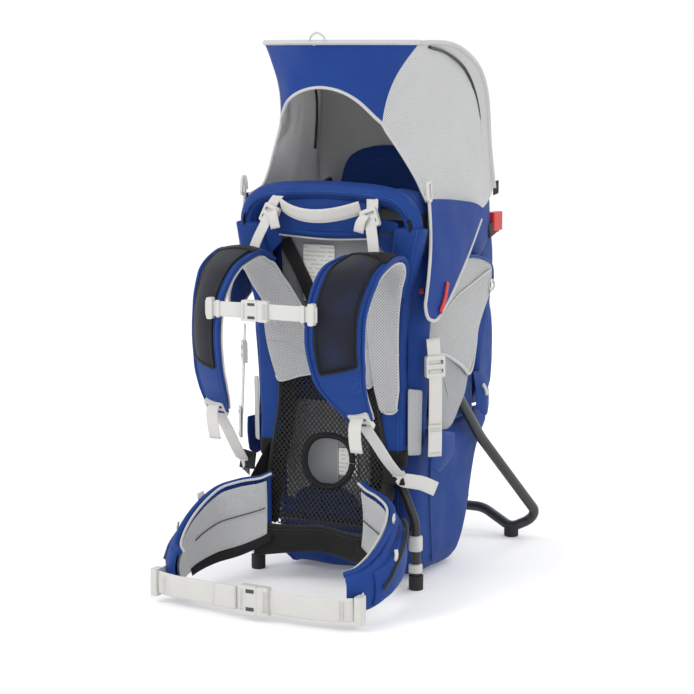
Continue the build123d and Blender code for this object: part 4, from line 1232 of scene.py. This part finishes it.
def make_shoulder_strap(word, s):
    count = 130
    stations, crest = strap_frame(word, s, count)
    start = int(crest * 0.74)

    def down(share):
        return crest + int(share * (count - 1 - crest))

    inner = strap_rows(stations, 0, count - 2, 0.98, -3.5, 14)
    put(pillow("shoulder_lining_" + word, inner, 10, [M["grey"], M["grey"], M["grey"]], edge=3.4,
               power=0.3), "harness", nodes=["shoulder_strap_" + word])
    shell = strap_rows(stations, start, count - 1, 1.06, 2.4, 14)
    put(pillow("shoulder_shell_" + word, shell, 9, [M["blue"]], edge=3.6, power=0.3), "harness")
    for k, edge in ((-0.5, "inner"), (0.5, "outer")):
        rim = [p + a * w * k + o * -4.0 for p, w, a, o in stations[1:-2]]
        put(tube(f"shoulder_piping_{edge}_{word}", rim, 1.7, M["pipe"], 8), "harness")
        fold = [p + a * w * k * 1.02 + o * 4.2 for p, w, a, o in stations[start:-3]]
        put(tube(f"shoulder_edge_roll_{edge}_{word}", fold, lambda v: 3.8 - 1.2 * v, M["blue"], 8),
            "harness")
    p, w, a, _ = stations[1]
    tail = [p + a * w * k for k in (-0.5, -0.3, 0, 0.3, 0.5)]
    tail = [p + Vector((0, 0, -7 * (1 - (2 * (i / 4) - 1) ** 2))) for i, p in enumerate(tail)]
    put(tube("shoulder_tail_piping_" + word, smooth(tail, 16), 2.2, M["pipe"], 8), "harness")

    first, last = down(0.13), down(0.70)
    base = strap_rows(stations, first, last, 0.70, 7.2, 12)
    put(pillow("strap_pocket_base_" + word, base, 5, [M["deep"]], edge=1.6), "harness")
    cover = strap_rows(stations, first, last, 0.72, 10.6, 14)
    put(cloth("strap_pocket_net_" + word, cover, M["mesh"], 1.0, crease=2.5, seed=s * 5), "harness")
    ring = ([r[0] for r in cover] + list(cover[-1]) + [r[-1] for r in cover[::-1]] + list(cover[0])[::-1])
    put(tube("strap_pocket_binding_" + word, smooth(ring[::3] + ring[:1], 150, 6), 3.6, M["black"], 8,
             squash=0.6), "harness")
    top = strap_rows(stations, down(0.0), first + 2, 0.92, 8.4, 10)
    put(pillow("strap_top_panel_" + word, top, 4, [M["black"]], edge=2), "harness")
    band = stations[down(0.0)]
    web_line = [band[0] + band[2] * band[1] * k + band[3] * (11.5 - 20 * k * k)
                for k in (-0.5, -0.25, 0, 0.25, 0.5)]
    put(web("strap_cross_web_" + word, web_line, 22, M["black_web"], tuple(band[2].cross(band[3])),
            count=20), "harness")
    rows = []
    for share in (0.76, 0.81):
        p, w, a, o = stations[down(share)]
        rows.append([p + a * w * k + o * (8.2 - 8 * k * k) for k in (-0.42, -0.2, 0, 0.2, 0.42)])
    for k in (-0.42, 0.42):
        rows.append([p + a * w * k + o * 6.6 for p, w, a, o in stations[start + 4:-6]])
    put(stitches("strap_stitching_" + word, rows, M["blue_thread"]), "harness")
    p, w, a, o = stations[int(crest * 0.36)]
    put(tube("lining_seam_" + word, [p + a * w * k + o * (3.8 - 8 * k * k)
                                     for k in (-0.48, -0.2, 0, 0.2, 0.48)], 1.2,
             M["thread"], 6), "harness")


def make_yoke():
    top = smooth([(-112, -42, 476), (-84, -41, 470), (-56, -41, 448), (-30, -41, 426), (0, -41, 418),
                  (30, -41, 426), (56, -41, 448), (84, -41, 470), (112, -42, 476)], 70)
    bottom = smooth([(-90, -40, 344), (-80, -40, 336), (-40, -40, 348), (0, -40, 354), (40, -40, 348),
                     (80, -40, 336), (92, -40, 344)], 70)

    def dent(u, v):
        z = 470 - v * 138
        return 1 - 0.55 * math.exp(-((z - 402) / 4.5) ** 2)

    grid = between(top, bottom, 40, lambda u, v: (8 * math.sin(math.pi * v) * (2 * u - 1), 0, 0))
    body = pillow("yoke_padding", grid, 12, [M["grey"]], edge=3.5, dent=dent)
    put(body, "harness", ["yoke_pad"])
    put(tube("yoke_top_piping", moved(top, 0, -1, 0), 1.9, M["pipe"], 8), "harness")
    put(tube("yoke_bottom_piping", moved(bottom, 0, -1, 0), 1.8, M["pipe"], 8), "harness")
    seam = [Vector((x, -44.2, 402)) for x in range(-104, 105, 8)]
    put(tube("yoke_seam", seam, 0.9, M["thread"], 6), "harness")
    for word, s in SIDES:
        run = smooth(flip([(30, -33, 424), (56, -33, 452), (86, -33, 476), (104, -34, 520),
                           (112, -36, 544)], s), 30)
        put(web("harness_black_web_" + word, run, 28, M["black_web"], (s * 0.8, 0, -0.6), count=30),
            "harness")


def make_harness_webs():
    for word, s in SIDES:
        line = flip([(133, -163, 308), (134, -146, 290), (137, -118, 262), (141, -88, 230),
                     (146, -58, 202)], s)
        strap = web("shoulder_web_" + word, line, 24, M["web"], (1, 0, 0), thick=2.0, count=40)
        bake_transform(strap)
        if s > 0:
            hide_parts("shoulder_webs")
        loose = flip([(131, -168, 314), (130, -178, 300), (129, -176, 276), (129, -170, 256)], s)
        put(web("shoulder_tail_" + word, loose, 22, M["web"], (1, 0, 0), thick=1.8), "harness")
        patch = between(smooth(flip([(118, -58, 214), (148, -54, 218)], s), 8),
                        smooth(flip([(120, -62, 186), (156, -52, 184)], s), 8), 8)
        put(cloth("shoulder_anchor_patch_" + word, patch, M["black"], 3))
        side_web = flip([(145, -58, 205), (151, -52, 194), (160, -34, 188), (168, -14, 182),
                         (177, 16, 168)], s)
        put(web("stabiliser_web_" + word, side_web, 24, M["web"], (0, -0.35, 1), thick=2.4, count=30),
            nodes=once("stabiliser_tails", s))
        end = [[Vector((s * x, y, z)) for x, y, z in ((153.5, -51, 204), (152.5, -52, 184))]]
        put(stitches("stabiliser_bartack_" + word, end, M["thread"], 1.8, radius=0.9))
        lift = flip([(92, -46, 628), (93, -56, 612), (98, -62, 596), (105, -70, 576), (110, -76, 558)], s)
        lifter = web("load_lifter_web_" + word, lift, 19, M["web"], (1, 0, 0), thick=2.0, count=30)
        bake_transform(lifter)
        if s > 0:
            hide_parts("load_lifter_webs")
        spare = flip([(86, -59, 618), (80, -64, 606), (76, -64, 590)], s)
        put(web("load_lifter_tail_" + word, spare, 18, M["web"], (1, 0, 0.3), thick=1.8))


def zigzag(x0, x1, y, z0, z1, turns):
    points = []
    for k in range(turns + 1):
        points.append(Vector((x0 if k % 2 else x1, y, z0 + (z1 - z0) * k / turns)))
    return points


def dress_buckle(name, socket, plug, socket_body, plug_body):
    """Prong windows, painted as dark strips of shade, and finger ridges on the front of a side-release
    buckle.
    """
    (low, high), (plug_low, plug_high) = socket, plug
    wide, tall, y, z = high.x - low.x, high.z - low.z, low.y - 0.2, (low.z + high.z) / 2
    # painted shade: each prong window is a flat dark strip standing for the shade in the opening
    for k, word in ((-1, "lower"), (1, "upper")):
        line = [(low.x + wide * share, y, z + k * tall * 0.31) for share in (0.42, 0.64, 0.86)]
        put(web(f"{name}_window_shadow_{word}", line, tall * 0.13, M["dark_thread"], (0, 0, 1), thick=0.9,
                count=8), socket_body)
    for k, share in enumerate((0.12, 0.22)):
        line = [(low.x + wide * share, y, z + tall * part) for part in (-0.36, 0, 0.36)]
        put(tube(f"{name}_socket_ridge_{k + 1}", smooth(line, 8), 0.9, M["white"], 8), socket_body)
    for k, share in enumerate((0.45, 0.62, 0.79)):
        line = [(plug_low.x + wide * share * 0.6 + wide * 0.1, y, z + tall * part)
                for part in (-0.36, 0, 0.36)]
        line = [(min(p[0], plug_high.x - 1.5), p[1], p[2]) for p in line]
        put(tube(f"{name}_plug_ridge_{k + 1}", smooth(line, 8), 0.9, M["white"], 8), plug_body)


def make_sternum_strap():
    slider, socket, plug = node_box("sternum_sliders"), node_box("sternum_socket"), node_box("sternum_plug")
    y, z = (socket[0].y + socket[1].y) / 2, (socket[0].z + socket[1].z) / 2
    end = slider[1].x + 4
    left = web("sternum_web_left", [(-end, y, z), (-60, y - 1.5, z), (socket[0].x + 1, y, z)], 24, M["web"],
               (0, 0, 1), count=30)
    put(left, "sternum_strap", ["sternum_webs"])
    right = web("sternum_web_right", [(plug[1].x - 1, y, z), (52, y - 1.5, z), (end, y, z)], 24, M["web"],
                (0, 0, 1), count=60)
    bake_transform(right)
    for word, s in SIDES:
        marks = [zigzag(s * (end - 4), s * (end - 16), y - 1.6, z - 9, z + 9, 6),
                 [Vector((s * (end - 20), y - 1.6, z + k)) for k in (-9, 9)]]
        put(stitches("sternum_zigzag_" + word, marks, M["thread"], 2.2, radius=0.6), "sternum_strap")
        keeper = [(s * (end - 24), y - 2.8, z + k) for k in (-13.5, 0, 13.5)]
        put(web("sternum_keeper_" + word, keeper, 7, M["white"], (1, 0, 0), thick=2.2, count=10),
            "sternum_strap")


# ---------------------------------------------------------------- hip belt

HIP = [(84, -64, 128, 112), (104, -72, 118, 114), (140, -92, 106, 122), (164, -112, 98, 124),
       (176, -140, 88, 122),
       (180, -175, 76, 112), (177, -208, 64, 96), (167, -236, 56, 76), (150, -252, 54, 56)]


def hip_grid(side, columns, rows, lift, low=0.0, high=1.0, first=0.0, last=1.0):
    """Part of the wing's surface, from its top edge down, `lift` outside its middle."""
    run = smooth([p[:3] for p in HIP], 60)
    heights = smooth([(p[3], 0, 10 * i) for i, p in enumerate(HIP)], 60)
    grid = []
    for j in range(rows):
        v = low + (high - low) * j / (rows - 1)
        row = []
        for i in range(columns):
            u = first + (last - first) * i / (columns - 1)
            k = min(59, int(round(u * 59)))
            p, tall = run[k], heights[k].x
            along = run[min(k + 1, 59)] - run[max(k - 1, 0)]
            out = Vector((-along.y, along.x, 0)).normalized()
            if out.x < 0:
                out = -out
            belly = math.sin(math.pi * v)
            q = p + Vector((0, 0, tall * (0.5 - v))) + out * (lift + 7 * belly - 3)
            q.z = max(q.z, 5.0)
            row.append(q)
        grid.append(row)
    grid = [flip(row, side) for row in grid]
    return turned(grid, side < 0)


def make_hip_wing(word, s):
    shell = pillow("hip_shell_" + word, hip_grid(s, 44, 22, 1.0), 15,
                   [M["blue"], M["belt_grey"], M["blue"]], edge=5, power=0.3, level=0)
    swell(shell, cap=4, voxel=4.5)
    shell.data.materials.clear()
    shell.data.materials.append(M["blue"])
    put(shell, "pack", ["hip_wing_" + word])
    lining = hip_grid(s, 44, 20, -9.5, 0.06, 0.94, 0.03, 0.96)
    put(pillow("hip_lining_" + word, lining, 6, [M["belt_grey"]], edge=2))
    middle = hip_grid(s, 30, 3, -14.4, 0.46, 0.50, 0.05, 0.62)[0]
    put(tube("hip_lining_seam_" + word, middle, 1.0, M["dark_thread"], 6), "pack")
    strip = hip_grid(s, 34, 5, -12.5, 0.86, 1.0, 0.0, 0.72)
    put(pillow("hip_black_strip_" + word, strip, 5, [M["black"]], edge=2))
    top = hip_grid(s, 50, 3, -7.0, 0.0, 0.05)[0]
    put(tube("hip_piping_" + word, moved(top, 0, 0, 1), 2.2, M["pipe"], 8))
    roll = hip_grid(s, 50, 3, 1.5, 0.0, 0.05)[0]
    put(tube("hip_top_roll_" + word, roll, 5.0, M["blue"], 10))
    edge = hip_grid(s, 34, 18, 8.0, 0.16, 0.90, 0.29, 0.84)
    pocket = pillow("hip_pocket_" + word, edge, 15, [M["blue"]], edge=3, power=0.45, level=0)
    swell(pocket, cap=5, voxel=4.5)
    put(pocket, "pack")
    ring = edge[0] + [r[-1] for r in edge] + edge[-1][::-1] + [r[0] for r in edge[::-1]]
    put(tube("hip_pocket_seam_" + word, smooth(ring[::4] + ring[:1], 120, 6), 1.6, M["deep"], 6))
    zip_rows = hip_grid(s, 40, 12, 19.5, 0.16, 0.60, 0.34, 0.80)
    shares = [k / 39 if s > 0 else 1 - k / 39 for k in range(40)]
    curve = [zip_rows[min(11, int(1 + 9 * share ** 2))][k] for k, share in enumerate(shares)]
    curve = smooth(curve[::5] + curve[-1:], 60)
    put(tube("hip_zip_" + word, curve, 4.0, M["black_web"], 8, squash=0.7))
    put(stitches("hip_zip_teeth_" + word, [moved(curve, s * 2.4, -0.8, 0)], M["dark_thread"], 2.6, 0.5,
                 1.1))
    gusset = between(smooth(flip([(114, -12, 238), (114, -10, 196), (114, -8, 150)], s), 12),
                     smooth(flip([(122, -84, 166), (120, -84, 140), (118, -84, 112)], s), 12), 10)
    put(cloth("hip_gusset_" + word, gusset, M["black"], 2.4, crease=2))
    low, high = node_box("hip_zip_pull_" + word)
    body = "hip_zip_" + word
    centre = (low + high) / 2
    x = centre.x + s * 10
    pull = [(x, centre.y, high.z - 1), (x + s * 1.5, centre.y - 1, centre.z),
            (x + s * 0.5, centre.y - 2, low.z + 1)]
    put(web("hip_zip_tab_" + word, pull, 7, M["web"], (0.3 * s, 1, 0), thick=2.4, count=16), body,
        nodes=["hip_zip_pull_" + word])
    tab = [(s * 176, -132, 152), (s * 180, -144, 149)]
    put(web("hip_tab_" + word, tab, 12, M["web"], (0, 0, 1), thick=3))


def make_belt_webs():
    socket, plug = node_box("belt_socket"), node_box("belt_plug")
    z = (socket[0].z + socket[1].z) / 2
    left = [(-184, -264, z + 1), (-170, -270, z + 1), (-136, -277, z), (-100, -280, z), (-56, -284, z),
            (socket[0].x + 1, -286, z)]
    put(web("belt_web_left", left, 37, M["web"], (0, 0, 1), thick=2.8, count=70), nodes=["belt_webs"])
    right = [(plug[1].x - 1, -286, z), (70, -287, z), (110, -286, z), (150, -279, z), (176, -268, z + 1)]
    strap = web("belt_web_right", right, 37, M["web"], (0, 0, 1), thick=2.8, count=70)
    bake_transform(strap)
    fold = [(-62, -286.4, z), (-40, -287.6, z), (-20, -288.2, z)]
    put(web("belt_web_fold", fold, 37.6, M["web"], (0, 0, 1), thick=2.4))
    for word, s in SIDES:
        end = [(s * 182, -262, z + 1), (s * 180, -250, z + 3), (s * 177, -234, z + 6)]
        put(web("belt_web_end_" + word, end, 37, M["web"], (0, 0, 1), thick=3.0))
        bars = [[Vector((s * 158, -279.5, z + k)) for k in (-16, 16)],
                [Vector((s * 163, -277.5, z + k)) for k in (-16, 16)]]
        put(stitches("belt_bartack_" + word, bars, M["thread"], 2.2, radius=0.7))


# ---------------------------------------------------------------- sunshade

SHADE_TOP = [(141, 22, 888), (133, 4, 888), (118, -14, 888), (64, -52, 888), (0, -72, 888)]
SHADE_ARCH = [(93, -14, 760), (86, -24, 770), (64, -42, 796), (35, -48, 812), (0, -50, 818)]
SHADE_LEG = [(93, -14, 760), (99, -9, 747), (118, 6, 712), (136, 18, 676), (149, 18, 652), (165, 2, 638)]
SHADE_RIM = [(141, 22, 888), (145, 60, 889), (148, 105, 888), (150, 147, 882), (152, 192, 866),
             (155, 225, 843),
             (158, 242, 811), (161, 245, 777), (165, 243, 726), (168, 247, 680), (171, 251, 645)]


def round_trip(half, count):
    """A line from the left end of a half line, over the middle, to its right end."""
    return smooth(flip(half, -1) + [Vector(p) for p in reversed(half[:-1])], count)


def make_shade_side(word, s, front):
    seam = [row[-1] if s > 0 else row[0] for row in front]
    first = smooth(seam[::5] + flip(SHADE_LEG[1:], s), 70)
    last = smooth(flip(SHADE_RIM + [(171, 196, 612), (171, 90, 628)], s), 70)
    grid = between(first, last, 40, lambda u, v: (s * 7 * math.sin(math.pi * v) * math.sin(math.pi * u), 0,
                                                  0))
    grid = turned(grid, s > 0)
    put_sheet(cloth("shade_side_" + word, grid, M["screen"], 1.2, crease=1.2, seed=s * 2), grid, "sunshade",
              once("shade_sides", s))
    put(tube("shade_seam_" + word, seam, 1.7, M["pipe"], 8), "sunshade")
    rim = smooth(flip(SHADE_RIM, s), 70)
    put(tube("shade_rear_binding_" + word, rim, 4.6, M["bind"], 10, squash=0.8), "sunshade")
    # painted shade: the wire sleeve inside the rear edge is charcoal, standing for the sleeve seen in the
    # canopy's shadow
    wire_line = smooth(flip([(143, 52, 882), (147, 112, 872), (150, 172, 848), (152, 208, 812),
                             (156, 222, 766), (160, 222, 706)], s), 50)
    put(tube("shade_wire_sleeve_and_shadow_" + word, wire_line, 2.6, M["stand"], 8), "sunshade")


def make_shade_flap(word, s):
    upper = smooth(flip([(170, -2, 642), (171, 24, 641), (172, 66, 638), (173, 120, 632), (173, 170, 625),
                         (172, 204, 614)], s), 50)
    low_edge = smooth(flip([(181, -36, 478), (183, -34, 459), (184, -18, 450), (184, 6, 452),
                            (183, 60, 486), (178, 130, 540), (172, 200, 600)], s), 50)

    def hang(u, v):
        return (s * 4 * math.sin(math.pi * v) * math.sin(math.pi * u),
                12 * math.sin(math.pi * v) * (1 - u) ** 3, 0)

    flap = between(upper, low_edge, 26, hang)
    edge = smooth([row[0] for row in flap[:-1:3]] + flap[-1][::2], 130)
    flap = turned(flap, s < 0)
    put_sheet(cloth("shade_flap_" + word, flap, M["shade"], 1.8, crease=1.0, seed=s * 4), flap, "sunshade",
              once("shade_flaps", s))
    put(tube("shade_flap_piping_" + word, moved(edge, s * 0.6, 0, 0), 2.8, M["pipe"], 8), "sunshade")
    red = flip([(186.5, 36, 506), (187.5, 24, 480), (187.5, 8, 460)], s)
    put(web("shade_red_tab_" + word, red, 10, M["red_web"], (0, 0.8, -0.6), thick=2.6, count=18),
        "sunshade", nodes=once("shade_tabs", s))
    cord = smooth(flip([(167, -5, 646), (168, -8, 660), (166, -9, 670), (163, -8, 662), (164, -5, 648)], s),
                  24)
    put(tube("shade_hook_cord_" + word, cord, 1.3, M["pipe"], 8), "sunshade")


def make_shade():
    plan, arch = round_trip(SHADE_TOP, 81), round_trip(SHADE_ARCH, 81)

    def draw_in(u, v):
        across = 2 * u - 1
        belly = math.sin(math.pi * v)
        return (-across * 12 * belly, (4 - 9 * abs(across)) * belly, 0)

    front = between(plan, arch, 26, draw_in)
    put_sheet(cloth("shade_brow", front, M["shade"], 1.6, crease=1.2), front, "sunshade",
              ["shade_front"])
    put(tube("shade_top_binding", moved(plan, 0, -0.5, 1), 4.2, M["pipe"], 10), "sunshade",
        nodes=["shade_wire"])
    put(stitches("shade_top_stitching", [moved(plan, 0, -4.6, -1.5)], M["thread"]), "sunshade")
    cord_loop = smooth([(-6, -75, 891), (-2, -76, 899), (8, -76, 904), (18, -75, 899), (22, -73, 891)], 24)
    put(tube("shade_cord_loop", cord_loop, 1.7, M["pipe"], 8), "sunshade")
    whole = round_trip(SHADE_LEG[::-1] + SHADE_ARCH[1:], 150)
    put(tube("shade_arch_binding", whole, 3.4, M["pipe"], 10, squash=0.8), "sunshade")
    roof_line = smooth(SHADE_TOP[::-1] + SHADE_RIM[1:], 64)
    rows = [[Vector((p.x * k / 20, p.y, p.z - 4 * (1 - (k / 20) ** 2))) for k in range(-20, 21)]
            for p in roof_line]
    put_sheet(cloth("shade_roof_panel", rows, M["roof"], 1.6, crease=0.8), rows, "sunshade",
              ["shade_roof"])
    put(tube("shade_roof_seam", moved(rows[26], 0, 0, 1.6), 1.4, M["pipe"], 6), "sunshade")
    for word, s in SIDES:
        make_shade_side(word, s, front)
        make_shade_flap(word, s)


# ---------------------------------------------------------------- studio

def make_studio():
    world = bpy.data.worlds.new("studio")
    bpy.context.scene.world = world
    world.use_nodes = True
    world.node_tree.nodes["Background"].inputs["Color"].default_value = (1, 1, 1, 1)
    world.node_tree.nodes["Background"].inputs["Strength"].default_value = 1.0
    mesh = bpy.data.meshes.new("floor")
    span = 40.0
    mesh.from_pydata([(-span, -span, 0), (span, -span, 0), (span, span, 0), (-span, span, 0)], [],
                     [(0, 1, 2, 3)])
    floor = bpy.data.objects.new("floor", mesh)
    bpy.context.scene.collection.objects.link(floor)
    paper = Surface("studio_paper", 0.9, Specular_IOR_Level=0.1, Emission_Color=(1, 1, 1, 1),
                    Emission_Strength=0.12)
    mesh.materials.append(paper.finish(paper.mix(paper.cloud(400, 2), (0.90, 0.90, 0.90, 1),
                                                 (0.92, 0.92, 0.92, 1))))

    def lamp(name, place, aim, size, power):
        data = bpy.data.lights.new(name, "AREA")
        data.shape, data.size, data.energy = "DISK", size, power
        obj = bpy.data.objects.new(name, data)
        obj.location = place
        obj.rotation_euler = (Vector(aim) - Vector(place)).to_track_quat("-Z", "Y").to_euler()
        bpy.context.scene.collection.objects.link(obj)

    middle = (0, 0, 0.45)
    lamp("key", (-1.5, -2.6, 2.6), middle, 1.6, 36)
    lamp("fill", (2.8, -1.6, 1.4), middle, 1.8, 12)
    lamp("back", (0.6, 2.8, 2.4), middle, 1.6, 22)

    data = bpy.data.cameras.new("camera")
    data.sensor_width = 36.0
    data.lens = 104.37
    camera = bpy.data.objects.new("camera", data)
    camera.location = (1.5594, FRONT_Y - 2.8922, 0.8716)
    camera.rotation_euler = (math.radians(81.7), 0, math.radians(28.0))
    bpy.context.scene.collection.objects.link(camera)
    bpy.context.scene.camera = camera
    bpy.context.scene.view_settings.view_transform = "Standard"


make_studio()
dress_hardware()
dress_buckle("sternum_buckle", node_box("sternum_socket"),
             (Vector((-3.7, 0, 0)), node_box("sternum_plug")[1]), "sternum_strap", "sternum_plug")
dress_buckle("belt_buckle", node_box("belt_socket"), (Vector((18.3, 0, 0)), node_box("belt_plug")[1]),
             "pack", "belt_plug")
for side_word, side_sign in SIDES:
    make_rail_cover(side_word, side_sign)
    make_corner_patch(side_word, side_sign)
    make_hoop_shoulder(side_word, side_sign)
    make_web_loops(side_word, side_sign)
make_top_hoop()
make_cross_panel()
make_grab_handle()
make_back_panel()
make_lumbar_pad()
make_lower_bag()
make_cockpit()
make_cockpit_rim()
make_rear_pack()
make_headrest()
make_child_seat()
for side_word, side_sign in SIDES:
    make_side_pocket(side_word, side_sign)
    make_side_gusset(side_word, side_sign)
    make_side_strap(side_word, side_sign)
    make_stirrup(side_word, side_sign)
    make_stand_flap(side_word, side_sign)
    make_side_tags(side_word, side_sign)
make_care_label()
for side_word, side_sign in SIDES:
    make_shoulder_strap(side_word, side_sign)
    make_hip_wing(side_word, side_sign)
make_yoke()
make_harness_webs()
make_sternum_strap()
make_belt_webs()
make_shade()
